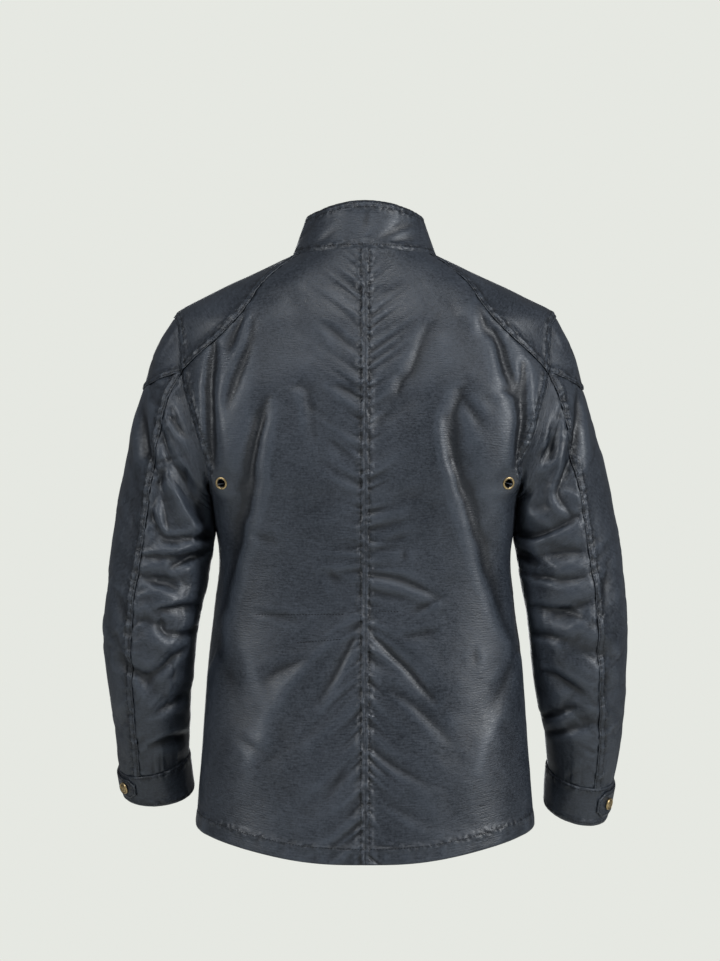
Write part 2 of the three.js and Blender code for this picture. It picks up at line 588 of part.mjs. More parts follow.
// Heights down the middle of a panel, matched to the rows of its outer edge
function middleZ(v, hem, belowPocket, armpit, yoke, neck) {
  const row = Math.round(v * PANEL_ROWS);
  if (row === 0) return -hem;
  if (row <= SIDE_ROWS) {
    const level = sideLevels[row - 1];
    const low = (level - POCKET_TOP) / (HEM_SIDE - POCKET_TOP);
    const high = (POCKET_TOP - level) / (POCKET_TOP - sideLevels.at(-1));
    return -(level + (low > 0 ? low * belowPocket : high * (armpit - sideLevels.at(-1))));
  }
  if (row <= SIDE_ROWS + ARMHOLE_ROWS) return -lerp(armpit, yoke, (row - SIDE_ROWS) / ARMHOLE_ROWS);
  return -lerp(yoke, neck, (row - SIDE_ROWS - ARMHOLE_ROWS) / YOKE_ROWS);
}

function backPanel(side) {
  const neckDeg = (u) => lerp(90, YOKE_BACK_DEG, u);
  return bodyPatch(side, {
    columns: BACK_COLUMNS,
    rows: PANEL_ROWS,
    left: (v) => [90, middleZ(v, HEM_BACK, HEM_BACK - HEM_SIDE, 304, 150, 0)],
    right: (v) => panelSide(v, true),
    bottom: (u) => [lerp(90, 0, u), hemZ(lerp(90, 0, u))],
    top: (u) => [neckDeg(u), neckZ(neckDeg(u))],
    cut: panelCut(side, BACK_COLUMNS, true, neckDeg),
    seams: 'lrt',
  });
}

const frontEdge = (v) => {
  const z = middleZ(v, HEM_FRONT, 0, 320, 190, NECK_FRONT);
  return [bodyAngle(FRONT_EDGE_X, -z, false), z];
};
function frontPatch(side) {
  const neckDeg = (u) => lerp(frontEdge(1)[0], YOKE_FRONT_DEG, u);
  const hemDeg = (u) => lerp(frontEdge(0)[0], 0, u);
  return {
    columns: FRONT_COLUMNS,
    rows: PANEL_ROWS,
    left: frontEdge,
    right: (v) => panelSide(v, false),
    bottom: (u) => [hemDeg(u), hemZ(hemDeg(u))],
    top: (u) => [neckDeg(u), neckZ(neckDeg(u))],
    cut: panelCut(side, FRONT_COLUMNS, false, neckDeg),
    seams: 'rt',
  };
}

// The shoulder piece, from the armhole to the collar, over the shoulder from back to front
function shoulderPiece(side) {
  const columns = 2 * YOKE_ROW;
  const neckDeg = (u) => lerp(YOKE_BACK_DEG, YOKE_FRONT_DEG, u);
  return bodyPatch(side, {
    columns,
    rows: YOKE_ROWS,
    left: (v) => yokeSeam(Math.round(v * YOKE_ROWS), true),
    right: (v) => yokeSeam(Math.round(v * YOKE_ROWS), false),
    bottom: (u) => armholePlace(YOKE_ROW - u * columns),
    top: (u) => [neckDeg(u), neckZ(neckDeg(u))],
    cut: (i, j) => {
      if (j === 0) return armholeCut(side, YOKE_ROW - i);
      return j === YOKE_ROWS ? neckCut(neckDeg(i / columns)) : null;
    },
    seams: 'lrbt',
  });
}

// A piece of the sleeve between two steps round it, from one share of its length to another
function sleevePatch(side, { from, to, rows, top, bottom, seams }) {
  const columns = Math.abs(to - from);
  const step = (i) => lerp(from, to, i / columns);
  const share = (i, j) => lerp(top(step(i)), bottom(step(i)), j / rows);
  return wallGeometry({
    columns,
    rows,
    seams,
    point: (i, j) => mirrored(side, sleevePoint(side, step(i), share(i, j))),
    normal: (i, j) => mirrored(
      side,
      share(i, j) < 1e-6 ? armholeCut(side, step(i)) : sleeveNormal(side, step(i), share(i, j)),
    ),
  });
}
function capEdge(step) {
  const corner = stepAngle(step < 0 ? -YOKE_ROW : YOKE_ROW);
  const turn = Math.min(1, stepAngle(step) / corner);
  return CAP_DEEP * (1 - turn ** CAP_CURVE);
}
const sleeveCap = (side) => sleevePatch(side, {
  from: YOKE_ROW,
  to: -YOKE_ROW,
  rows: CAP_ROWS,
  top: () => 0,
  bottom: capEdge,
  seams: 'lrbt',
});
const sleeveOuter = (side) => sleevePatch(side, {
  from: SLEEVE_FRONT_SEAM - ARMHOLE_STEPS,
  to: YOKE_ROW,
  rows: SLEEVE_ROWS,
  top: (step) => (Math.abs(step) <= YOKE_ROW ? capEdge(step) : 0),
  bottom: () => 1,
  seams: 'lrb',
});
const sleeveInner = (side) => sleevePatch(side, {
  from: YOKE_ROW,
  to: SLEEVE_FRONT_SEAM,
  rows: SLEEVE_ROWS,
  top: () => 0,
  bottom: () => 1,
  seams: 'lrb',
});

// The cuff's surface, by angle round the wrist and share of its height from the sleeve down
function cuffPoint(side, phi, share, proud = CUFF_PROUD) {
  const name = side > 0 ? 'left' : 'right';
  const rows = [sleeveSections[name].at(-1), cuffHems[name]];
  const section = {};
  for (const key of Object.keys(rows[0])) section[key] = lerp(rows[0][key], rows[1][key], share);
  const ring = sleeveRow(section);
  const turn = THREE.MathUtils.euclideanModulo(phi, 2 * Math.PI);
  const point = ringPoint(ring, turn);
  const out = ringPoint(ring, turn + 0.01).sub(ringPoint(ring, turn - 0.01));
  const down = sleeveRow(rows[1]).middle.sub(sleeveRow(rows[0]).middle);
  return point.addScaledVector(down.cross(out).normalize(), proud);
}
function cuffNormal(side, phi, share) {
  const out = cuffPoint(side, phi + 0.02, share).sub(cuffPoint(side, phi - 0.02, share));
  const down = cuffPoint(side, phi, 1).sub(cuffPoint(side, phi, 0));
  return down.cross(out).normalize();
}
function cuff(side) {
  const columns = CUFF_COLUMNS;
  const phi = (i) => (2 * Math.PI * i) / columns;
  const share = (j) => lerp(CUFF_START, 1, j / CUFF_ROWS);
  return wallGeometry({
    columns,
    rows: CUFF_ROWS,
    ring: true,
    wall: CUFF_WALL,
    point: (i, j) => mirrored(side, cuffPoint(side, phi(i), share(j))),
    normal: (i, j) => mirrored(side, cuffNormal(side, phi(i), share(j))),
  });
}

// The strap lies on the cuff, and the corners of its free end are cut back
const TAB_LIFT = CUFF_PROUD + LAY_GAP + TAB_THICK;
function cuffTab(side) {
  const tab = cuffTabs[side > 0 ? 'left' : 'right'];
  const columns = Math.round((tab.to - tab.from) / (360 / CUFF_COLUMNS));
  const rows = 2;
  const turn = (i) => rad(lerp(tab.from, tab.to, i / columns));
  const share = (i, j) => {
    const cutBack = smooth((i / columns - 1 + TAB_CORNER) / TAB_CORNER);
    const tall = TAB_HEIGHT_SHARE * (1 - 0.5 * cutBack);
    return tab.level + tall * (j / rows - 0.5);
  };
  return wallGeometry({
    columns,
    rows,
    wall: TAB_THICK,
    point: (i, j) => mirrored(side, cuffPoint(side, turn(i), share(i, j), TAB_LIFT)),
    normal: (i, j) => mirrored(side, cuffNormal(side, turn(i), share(i, j))),
  });
}

// A mesh whose own +Y points out along a normal, as a lathe's axis does
function setOn(mesh, point, normal, lift = 0) {
  mesh.position.copy(point).addScaledVector(normal, lift);
  mesh.quaternion.setFromUnitVectors(new THREE.Vector3(0, 1, 0), normal);
  return mesh;
}

function studGeometry() {
  const r = STUD_RADIUS;
  const profile = [
    [0, 0], [r - 0.8, 0], [r, 0.8], [r, 1.7], [r - 0.9, 2.5], [r - 1.8, 2.1], [r - 3, 2.3], [0, 2.9],
  ];
  return new THREE.LatheGeometry(profile.map(([x, y]) => new THREE.Vector2(x, y)), 20);
}

// The flange lies outside the wall and a washer inside it, joined by the barrel through the punched hole
function eyeletGeometry({ top, bottom }) {
  const flange = top + LAY_GAP;
  const washer = bottom - LAY_GAP;
  const r = EYELET_RADIUS;
  const profile = [
    [EYELET_HOLE, washer - 1], [r - 0.8, washer - 1], [r - 0.8, washer],
    [EYELET_BARREL, washer], [EYELET_BARREL, flange], [r, flange], [r - 0.5, flange + 0.9],
    [(r + EYELET_HOLE) / 2, flange + 1.2], [EYELET_HOLE, flange + 0.6], [EYELET_HOLE, washer - 1],
  ];
  return new THREE.LatheGeometry(profile.map(([x, y]) => new THREE.Vector2(x, y)), 20);
}

// Cutting and joining of closed meshes
const wasm = await Module();
wasm.setup();
function toSolid(geometry) {
  const bare = geometry.index ? geometry.clone() : mergeVertices(geometry, 1e-4);
  bare.deleteAttribute('normal');
  bare.deleteAttribute('uv');
  const merged = mergeVertices(bare, 1e-4);
  const corners = merged.getIndex().array;
  const kept = [];
  for (let k = 0; k < corners.length; k += 3) {
    const [a, b, c] = [corners[k], corners[k + 1], corners[k + 2]];
    if (a !== b && b !== c && a !== c) kept.push(a, b, c);
  }
  const vertProperties = new Float32Array(merged.getAttribute('position').array);
  return new wasm.Manifold(new wasm.Mesh({ numProp: 3, vertProperties, triVerts: new Uint32Array(kept) }));
}
function toGeometry(solid) {
  const { vertProperties, triVerts } = solid.getMesh();
  const geometry = new THREE.BufferGeometry();
  geometry.setAttribute('position', new THREE.BufferAttribute(vertProperties, 3));
  geometry.setIndex(Array.from(triVerts));
  geometry.computeVertexNormals();
  return geometry;
}
function placed(mesh) {
  mesh.updateMatrixWorld(true);
  return mesh.geometry.clone().applyMatrix4(mesh.matrixWorld);
}

// The eyelet sits where its panel is calm, and the panel is punched for its barrel
function eyeletSeat(side) {
  const deg = bodyAngle(EYELET_X, EYELET_DOWN, true);
  const point = bodyPoint(side, deg, -EYELET_DOWN);
  const normal = bodyNormal(deg, -EYELET_DOWN);
  point.x *= side;
  normal.x *= side;
  return [point, normal];
}
function wallUnderEyelet(side, panel) {
  const [point, normal] = eyeletSeat(side);
  const sideways = new THREE.Vector3().crossVectors(normal, UP).normalize();
  const upwards = new THREE.Vector3().crossVectors(sideways, normal);
  const wall = { top: -Infinity, bottom: Infinity };
  const start = 20;
  const probes = 72;
  for (let k = 0; k < probes; k += 1) {
    const turn = (6 * Math.PI * k) / probes;
    const reach = lerp(EYELET_BARREL, EYELET_RADIUS, k / (probes - 1));
    const origin = point.clone().addScaledVector(normal, start);
    origin.addScaledVector(sideways, reach * Math.cos(turn));
    origin.addScaledVector(upwards, reach * Math.sin(turn));
    const hits = new THREE.Raycaster(origin, normal.clone().negate()).intersectObject(panel);
    wall.top = Math.max(wall.top, start - hits[0].distance);
    wall.bottom = Math.min(wall.bottom, start - hits.at(-1).distance);
  }
  return wall;
}
function punched(side, panel) {
  const radius = EYELET_BARREL + LAY_GAP;
  const punch = new THREE.Mesh(new THREE.CylinderGeometry(radius, radius, 20, 20));
  setOn(punch, ...eyeletSeat(side));
  return toGeometry(toSolid(panel.geometry).subtract(toSolid(placed(punch))));
}

// What lies on a front panel is made from the panel's own points, moved out
function laidOnFront(side, levels, lift) {
  const patch = frontPatch(side);
  const place = (i, j) => patchPlace(patch, POCKET_COLUMNS[0] + i, levels[0] + j);
  const facing = (i, j) => bodyNormal(...place(i, j));
  return wallGeometry({
    columns: POCKET_COLUMNS[1] - POCKET_COLUMNS[0],
    rows: levels[1] - levels[0],
    wall: POCKET_WALL,
    point: (i, j) => mirrored(side, bodyPoint(side, ...place(i, j)).addScaledVector(facing(i, j), lift)),
    normal: (i, j) => mirrored(side, facing(i, j)),
  });
}
const POCKET_LIFT = LAY_GAP + POCKET_WALL;
const pocket = (side) => laidOnFront(side, POCKET_LEVELS, POCKET_LIFT);
const pocketFlap = (side) => laidOnFront(side, FLAP_LEVELS, 2 * POCKET_LIFT);

// The collar runs round the neck from one side of the zip to the other
function collar() {
  const signed = (u, v) => {
    const end = lerp(COLLAR_END_DEG.seam, COLLAR_END_DEG.top, v);
    return lerp(-90 + end, 270 - end, u);
  };
  const fold = (deg) => (deg > 90 ? 180 - deg : deg);
  const mirror = (p, deg) => p.setX(p.x * (deg > 90 ? -1 : 1));
  return wallGeometry({
    columns: COLLAR_COLUMNS,
    rows: COLLAR_ROWS,
    wall: COLLAR_WALL,
    seams: 'b',
    point: (i, j) => {
      const deg = signed(i / COLLAR_COLUMNS, j / COLLAR_ROWS);
      const seam = smoothBody(fold(deg), neckZ(fold(deg)));
      return mirror(seam.lerp(collarTop(fold(deg)), j / COLLAR_ROWS), deg);
    },
    normal: (i, j) => {
      const deg = signed(i / COLLAR_COLUMNS, j / COLLAR_ROWS);
      return mirror(j === 0 ? neckCut(fold(deg)) : collarNormal(fold(deg)), deg);
    },
  });
}

// Strips that follow the front edge, with the rows of the panels' edges: the zip's tapes behind the
// panels, and its chain between them
const ZIP_BOTTOM = HEM_FRONT - TAPE.lift;
const edgeHeights = Array.from({ length: PANEL_ROWS + 1 }, (_, j) => frontEdge(j / PANEL_ROWS)[1]);
function frontStrip(side, { from, to, top, lift, thick }) {
  const heights = [-ZIP_BOTTOM, ...edgeHeights.filter((z) => z > -ZIP_BOTTOM && z < -top - 1), -top];
  const x = (i) => (i === 0 ? from : to);
  const place = (i, j) => [bodyAngle(Math.abs(x(i)), -heights[j], false), heights[j]];
  const signed = (p, i) => p.setX(p.x * (x(i) < 0 ? -1 : 1) * side);
  return wallGeometry({
    columns: 1,
    rows: heights.length - 1,
    wall: thick,
    point: (i, j) => signed(smoothBody(...place(i, j)).addScaledVector(bodyNormal(...place(i, j)), lift), i),
    normal: (i, j) => bodyNormal(-90, heights[j]),
  });
}
const zipTape = (side) => frontStrip(side, { ...TAPE, lift: -WALL - TAPE.gap });
const CHAIN_LIFT = -WALL - TAPE.gap - TAPE.thick / 2 + CHAIN.thick / 2;
const zipChain = () => frontStrip(1, { ...CHAIN, from: -CHAIN.half, to: CHAIN.half, lift: CHAIN_LIFT });

// The slider's frame: X across, Y out of the chest, Z up along the zip
function sliderFrame() {
  const out = bodyNormal(-90, -SLIDER.down);
  const across = new THREE.Vector3(1, 0, 0);
  const along3 = across.clone().cross(out).negate();
  const group = new THREE.Group();
  group.position.copy(smoothBody(-90, -SLIDER.down));
  group.quaternion.setFromRotationMatrix(new THREE.Matrix4().makeBasis(across.negate(), out, along3));
  return group;
}

// A profile in the slider's Y and Z, made as wide as given in X
function sideExtrude(shape, width) {
  const geometry = new THREE.ExtrudeGeometry(shape, { depth: width, bevelEnabled: false, curveSegments: 5 });
  geometry.translate(0, 0, -width / 2);
  return geometry.applyMatrix4(new THREE.Matrix4().makeBasis(
    new THREE.Vector3(0, 1, 0), new THREE.Vector3(0, 0, 1), new THREE.Vector3(1, 0, 0),
  ));
}
function shapeOf(points) {
  return new THREE.Shape(points.map(([y, z]) => new THREE.Vector2(y, z)));
}
function sliderGeometry() {
  const face = CHAIN_LIFT + LAY_GAP;
  const back = CHAIN_LIFT - CHAIN.thick - LAY_GAP;
  const { low, high, plate } = SLIDER;
  const slab = (inner, outer, bottom) => shapeOf([
    [inner, bottom], [outer, bottom], [outer, high], [inner, high],
  ]);
  const bail = shapeOf([
    [face + plate - 0.5, -BAIL.half], [BAIL.tall - 1.4, -BAIL.half], [BAIL.tall, -BAIL.half + 1.6],
    [BAIL.tall, BAIL.half - 1.6], [BAIL.tall - 1.4, BAIL.half], [face + plate - 0.5, BAIL.half],
  ]);
  const eye = new THREE.Path();
  eye.absarc(BAIL.pinOut, 0, BAIL.hole, 0, 2 * Math.PI, true);
  bail.holes.push(eye);
  const pieces = [
    sideExtrude(slab(face, face + plate, low), 2 * SLIDER.half),
    sideExtrude(slab(back - plate, back, low), 2 * SLIDER.half),
    sideExtrude(slab(back - plate / 2, face + plate / 2, high - SLIDER.bridge), 2 * CHAIN.half),
    sideExtrude(bail, BAIL.thick),
  ];
  return toGeometry(pieces.map(toSolid).reduce((joined, piece) => joined.add(piece)));
}

// The pull tab hangs from a pin through the bail, with a window that clears the bail as it swings
function pullGeometry() {
  const wide = PULL.window + PULL.arm;
  const low = -PULL.windowLong;
  const plate = new THREE.Shape([
    [-wide, PULL.pin], [-wide, low - 3], [-PULL.grip / 2, low - 5], [-PULL.grip / 2, -PULL.long + 2],
    [-PULL.grip / 2 + 2, -PULL.long], [PULL.grip / 2 - 2, -PULL.long], [PULL.grip / 2, -PULL.long + 2],
    [PULL.grip / 2, low - 5], [wide, low - 3], [wide, PULL.pin],
    [PULL.window, PULL.pin], [PULL.window, low], [-PULL.window, low], [-PULL.window, PULL.pin],
  ].map(([x, z]) => new THREE.Vector2(x, z)));
  const flat = new THREE.ExtrudeGeometry(plate, { depth: 2 * PULL.pin, bevelEnabled: false });
  flat.translate(0, 0, -PULL.pin);
  flat.applyMatrix4(new THREE.Matrix4().makeBasis(
    new THREE.Vector3(1, 0, 0), new THREE.Vector3(0, 0, 1), new THREE.Vector3(0, -1, 0),
  ));
  const pin = new THREE.CylinderGeometry(PULL.pin * 0.98, PULL.pin * 0.98, 2 * PULL.window + 1, PULL_SIDES);
  pin.rotateZ(Math.PI / 2);
  return toGeometry(toSolid(flat).add(toSolid(pin)));
}

function named(name, geometry, material) {
  const mesh = new THREE.Mesh(geometry, material);
  mesh.name = name;
  return mesh;
}

function cuffStud(side, name) {
  const tab = cuffTabs[name];
  const point = cuffPoint(side, rad(tab.stud), tab.level, TAB_LIFT);
  const normal = cuffNormal(side, rad(tab.stud), tab.level);
  point.x *= side;
  normal.x *= side;
  return setOn(named(`cuff_stud_${name}`, studGeometry(), brass()), point, normal, LAY_GAP);
}

const jacket = new THREE.Group();
for (const [name, side] of [['left', 1], ['right', -1]]) {
  const wholeBack = new THREE.Mesh(backPanel(side), new THREE.MeshBasicMaterial({ side: THREE.DoubleSide }));
  const eyelet = named(`eyelet_${name}`, eyeletGeometry(wallUnderEyelet(side, wholeBack)), brass());
  jacket.add(
    named(`back_${name}`, punched(side, wholeBack), cloth()),
    named(`front_${name}`, bodyPatch(side, frontPatch(side)), cloth()),
    named(`shoulder_${name}`, shoulderPiece(side), cloth()),
    named(`sleeve_cap_${name}`, sleeveCap(side), cloth()),
    named(`sleeve_outer_${name}`, sleeveOuter(side), cloth()),
    named(`sleeve_inner_${name}`, sleeveInner(side), cloth()),
    named(`cuff_${name}`, cuff(side), cloth()),
    named(`cuff_tab_${name}`, cuffTab(side), cloth()),
    cuffStud(side, name),
    setOn(eyelet, ...eyeletSeat(side)),
    named(`pocket_${name}`, pocket(side), cloth()),
    named(`pocket_flap_${name}`, pocketFlap(side), cloth()),
    named(`zip_tape_${name}`, zipTape(side), tapeCloth()),
  );
}
jacket.add(named('collar', collar(), cloth()));
jacket.add(named('zip_chain', zipChain(), brass()));
const slider = sliderFrame();
slider.add(named('zip_slider', sliderGeometry(), brass()));
const pull = named('zip_pull', pullGeometry(), brass());
pull.position.set(0, BAIL.pinOut, 0);
slider.add(pull);
jacket.add(slider);

export default jacket;
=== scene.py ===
# A waxed cotton jacket in the shape it keeps when worn, seen from behind.
# Sizes are millimetres until a mesh is made. +Z is up, the back faces +Y, the jacket's left is +X.
import math
from collections import namedtuple

import bpy
import numpy as np
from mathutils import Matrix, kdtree


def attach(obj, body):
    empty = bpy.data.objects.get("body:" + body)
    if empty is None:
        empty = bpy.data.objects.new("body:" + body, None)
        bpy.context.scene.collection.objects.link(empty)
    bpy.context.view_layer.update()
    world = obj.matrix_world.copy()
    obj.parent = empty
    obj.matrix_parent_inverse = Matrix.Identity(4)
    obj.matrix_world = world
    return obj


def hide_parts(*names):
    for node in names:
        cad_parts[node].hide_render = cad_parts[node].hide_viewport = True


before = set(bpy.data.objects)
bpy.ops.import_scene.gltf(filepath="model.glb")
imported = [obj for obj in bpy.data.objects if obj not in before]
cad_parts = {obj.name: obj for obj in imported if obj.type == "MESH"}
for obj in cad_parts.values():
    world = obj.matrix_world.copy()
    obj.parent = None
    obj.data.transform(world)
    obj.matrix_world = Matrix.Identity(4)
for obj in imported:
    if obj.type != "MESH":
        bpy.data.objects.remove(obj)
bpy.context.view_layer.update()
bpy.ops.object.select_all(action="DESELECT")
scene = bpy.context.scene
MM = 0.001


# Camera, floor and studio light. The camera stands level with the middle of the jacket, behind it.
# Two tall soft boxes and one overhead light the cloth from the camera's side, one the front.
CAMERA_PLACE, CAMERA_TURN, LENS = (0.006, 4.6, -0.283), (90, 0, 180), 140.5
LIGHT_TINT, LIGHT_AIM = (0.93, 0.965, 1), -0.3
# Name, place and size in metres, power in watts
SOFT_BOXES = [
    ("light_left", (2.8, 2.5, 0.9), (0.7, 1.6), 48),
    ("light_right", (-2.9, 2.3, 0.9), (0.8, 1.6), 90),
    ("light_top", (0.0, 2.2, 2.6), (1.6, 0.8), 38),
    ("light_front", (0.2, -3.6, -0.1), (1.6, 1.8), 30),
]
BACKDROP = (0.790, 0.807, 0.761, 1)
SURROUND, SURROUND_STRENGTH = (0.86, 0.88, 0.9, 1), 0.16
FLOOR_RADIUS, FLOOR_LEVEL, FLOOR_COLOR = 3.2, -1.45, (0.8, 0.81, 0.78)


def node(tree, kind, inputs=(), **settings):
    made = tree.nodes.new(kind)
    for key, value in settings.items():
        setattr(made, key, value)
    for key, value in dict(inputs).items():
        if isinstance(value, bpy.types.NodeSocket):
            tree.links.new(value, made.inputs[key])
        else:
            made.inputs[key].default_value = value
    return made


def new_material(name, color, roughness, metallic=0.0):
    made = bpy.data.materials.new(name)
    made.use_nodes = True
    shader = made.node_tree.nodes["Principled BSDF"]
    shader.inputs["Base Color"].default_value = (*color, 1)
    shader.inputs["Roughness"].default_value = roughness
    shader.inputs["Metallic"].default_value = metallic
    return made, made.node_tree, shader


camera = bpy.data.objects.new("camera", bpy.data.cameras.new("camera"))
scene.collection.objects.link(camera)
camera.location = CAMERA_PLACE
camera.rotation_euler = [math.radians(turn) for turn in CAMERA_TURN]
camera.data.sensor_width = 36
camera.data.lens = LENS
scene.camera = camera
scene.view_settings.view_transform = "Standard"
scene.view_settings.look = "None"

for name, place, size, power in SOFT_BOXES:
    light = bpy.data.objects.new(name, bpy.data.lights.new(name, "AREA"))
    light.data.shape = "RECTANGLE"
    light.data.size, light.data.size_y = size
    light.data.energy = power
    light.data.color = LIGHT_TINT
    scene.collection.objects.link(light)
    light.location = place
    aim = -light.location
    aim.z += LIGHT_AIM
    light.rotation_euler = aim.to_track_quat("-Z", "Y").to_euler()

world = bpy.data.worlds.new("studio")
scene.world = world
world.use_nodes = True
sky = world.node_tree
sky.nodes.clear()
backdrop = node(sky, "ShaderNodeBackground", {"Color": BACKDROP})
surround = node(sky, "ShaderNodeBackground", {"Color": SURROUND, "Strength": SURROUND_STRENGTH})
seen = node(sky, "ShaderNodeLightPath").outputs["Is Camera Ray"]
either = node(sky, "ShaderNodeMixShader", {0: seen, 1: surround.outputs[0], 2: backdrop.outputs[0]})
node(sky, "ShaderNodeOutputWorld", {"Surface": either.outputs[0]})

bpy.ops.mesh.primitive_circle_add(vertices=96, radius=FLOOR_RADIUS, fill_type="NGON",
                                  location=(0, 0, FLOOR_LEVEL))
floor = bpy.context.object
floor.name = "floor"
floor.data.materials.append(new_material("floor_paint", FLOOR_COLOR, 0.9)[0])


# Back: two panels of waxed cotton with a double-stitched seam down the middle that puckers the cloth
# beside it. They reach from the collar to the turned hem, and lap over the sleeves at the armhole.
# The cloth is a tight plain weave under wax. Its colour is paler on raised creases, partly rubbed wax and
# partly painted highlight, and darker in hollows and beside stitch rows, which is painted shade.
def speckle(tree, where, scale, detail, more=(), **settings):
    """The value of a noise texture at a place."""
    values = {"Vector": where, "Scale": scale, "Detail": detail, **dict(more)}
    return node(tree, "ShaderNodeTexNoise", values, **settings).outputs["Fac"]


def computed(tree, operation, *values):
    return node(tree, "ShaderNodeMath", enumerate(values), operation=operation).outputs[0]


def fitted(tree, value, low, high, to_low=0, to_high=1):
    """A value moved from one range to another and kept inside it."""
    ends = {"From Min": low, "From Max": high, "To Min": to_low, "To Max": to_high}
    return node(tree, "ShaderNodeMapRange", {"Value": value, **ends}).outputs[0]


def tinted(tree, share, color, other):
    """A color with a share of another in it."""
    parts = {"Factor": share, 6: color, 7: (*other, 1)}
    return node(tree, "ShaderNodeMix", parts, data_type="RGBA").outputs[2]


def bumped(tree, height, strength, distance, under=None):
    """The way that a surface faces with a bump on it, laid over another bump if there is one."""
    values = {"Height": height, "Strength": strength, "Distance": distance}
    if under is not None:
        values["Normal"] = under
    return node(tree, "ShaderNodeBump", values).outputs["Normal"]


# The weave follows each sheet's own UV map, which is in metres
THREADS = 1500
weave = bpy.data.node_groups.new("weave", "ShaderNodeTree")
weave.interface.new_socket("Threads", in_out="INPUT", socket_type="NodeSocketFloat").default_value = THREADS
weave.interface.new_socket("Height", in_out="OUTPUT", socket_type="NodeSocketFloat")
thread_count = node(weave, "NodeGroupInput").outputs["Threads"]
weave_uv = node(weave, "ShaderNodeUVMap", uv_map="cloth").outputs[0]
weave_at = node(weave, "ShaderNodeVectorMath", {0: weave_uv, "Scale": thread_count}, operation="SCALE")
weave_xy = node(weave, "ShaderNodeSeparateXYZ", {0: weave_at.outputs[0]})
weft, warp = (computed(weave, "SINE", weave_xy.outputs[axis]) for axis in "XY")
node(weave, "NodeGroupOutput", {"Height": computed(weave, "MULTIPLY", weft, warp)})

DYE_DARK, DYE_PALE, MOTTLE = (0.0125, 0.016, 0.022, 1), (0.040, 0.048, 0.062, 1), (1.05, 1.7)
# Colours laid over the dye: a paler colour for raised creases, partly rubbed wax and partly painted
# highlight, a painted shade colour for hollows, and a painted shade colour for the puckers beside stitch rows
RIDGE_WEAR_AND_HIGHLIGHT, HOLLOW_SHADE, STITCH_PUCKER_SHADE = (0.068, 0.082, 0.104), (0.004, 0.0055, 0.0085), (0.003, 0.004, 0.006)
SLUBS = (110.0, 620.0, 0.0)
waxed_cotton, tree, shader = new_material("waxed_cotton", (0.03, 0.036, 0.046), 0.42)
where = node(tree, "ShaderNodeTexCoord").outputs["Object"]
cut = node(tree, "ShaderNodeUVMap", uv_map="cloth").outputs[0]
# This attribute is the cloth's height over its blurred self: paler where raised (rubbed wax and painted
# highlight), darker where sunk (painted shade)
worn = node(tree, "ShaderNodeAttribute", attribute_name="wear_and_painted_light").outputs["Fac"]
sewn = node(tree, "ShaderNodeAttribute", attribute_name="sewn").outputs["Fac"]
along_weft = node(tree, "ShaderNodeVectorMath", {0: cut, 1: SLUBS}, operation="MULTIPLY").outputs[0]
slubs = speckle(tree, along_weft, 1, 2)
patches = speckle(tree, where, 10, 6, {"Roughness": 0.66})
flecks = speckle(tree, where, 380, 2)
mottle = computed(tree, "MULTIPLY_ADD", flecks, 0.9, computed(tree, "MULTIPLY_ADD", slubs, 0.85, patches))
dye = node(tree, "ShaderNodeValToRGB", {"Fac": fitted(tree, mottle, *MOTTLE)})
dye.color_ramp.elements[0].color = DYE_DARK
dye.color_ramp.elements[1].color = DYE_PALE
# Raised creases turn paler: partly rubbed wax, partly a painted highlight
paler = tinted(tree, fitted(tree, worn, 0.05, 0.6, 0, 0.32), dye.outputs["Color"], RIDGE_WEAR_AND_HIGHLIGHT)
# Hollows of the relief turn darker: painted shade
darker = tinted(tree, fitted(tree, worn, -0.1, -1.1, 0, 0.85), paler, HOLLOW_SHADE)
# Cloth beside stitch rows darkens where the beads dip: painted shade in the puckers
beads = speckle(tree, where, 165, 0)
shade = computed(tree, "MULTIPLY", fitted(tree, beads, 0.56, 0.36, 0, 0.6), sewn)
tree.links.new(tinted(tree, shade, darker, STITCH_PUCKER_SHADE), shader.inputs["Base Color"])
tree.links.new(fitted(tree, mottle, *MOTTLE, 0.34, 0.56), shader.inputs["Roughness"])
crinkles = speckle(tree, where, 26, 3, {"Roughness": 0.5, "Distortion": 0.5},
                   noise_type="RIDGED_MULTIFRACTAL")
relief = bumped(tree, crinkles, 0.4, 0.0008)
relief = bumped(tree, computed(tree, "MULTIPLY", beads, sewn), 1, 0.0026, relief)
relief = bumped(tree, speckle(tree, where, 230, 3), 0.4, 0.0004, relief)
relief = bumped(tree, slubs, 0.7, 0.0005, relief)
threads = node(tree, "ShaderNodeGroup", node_tree=weave).outputs["Height"]
tree.links.new(bumped(tree, threads, 0.15, 0.00012, relief), shader.inputs["Normal"])
shader.inputs["Specular IOR Level"].default_value = 0.55

thread, tree, shader = new_material("thread", (0.006, 0.0075, 0.011), 0.75)
where = node(tree, "ShaderNodeTexCoord").outputs["Object"]
twist = speckle(tree, where, 900, 1)
tree.links.new(bumped(tree, twist, 0.4, 0.0003), shader.inputs["Normal"])
tree.links.new(fitted(tree, twist, 0, 1, 0.6, 0.85), shader.inputs["Roughness"])
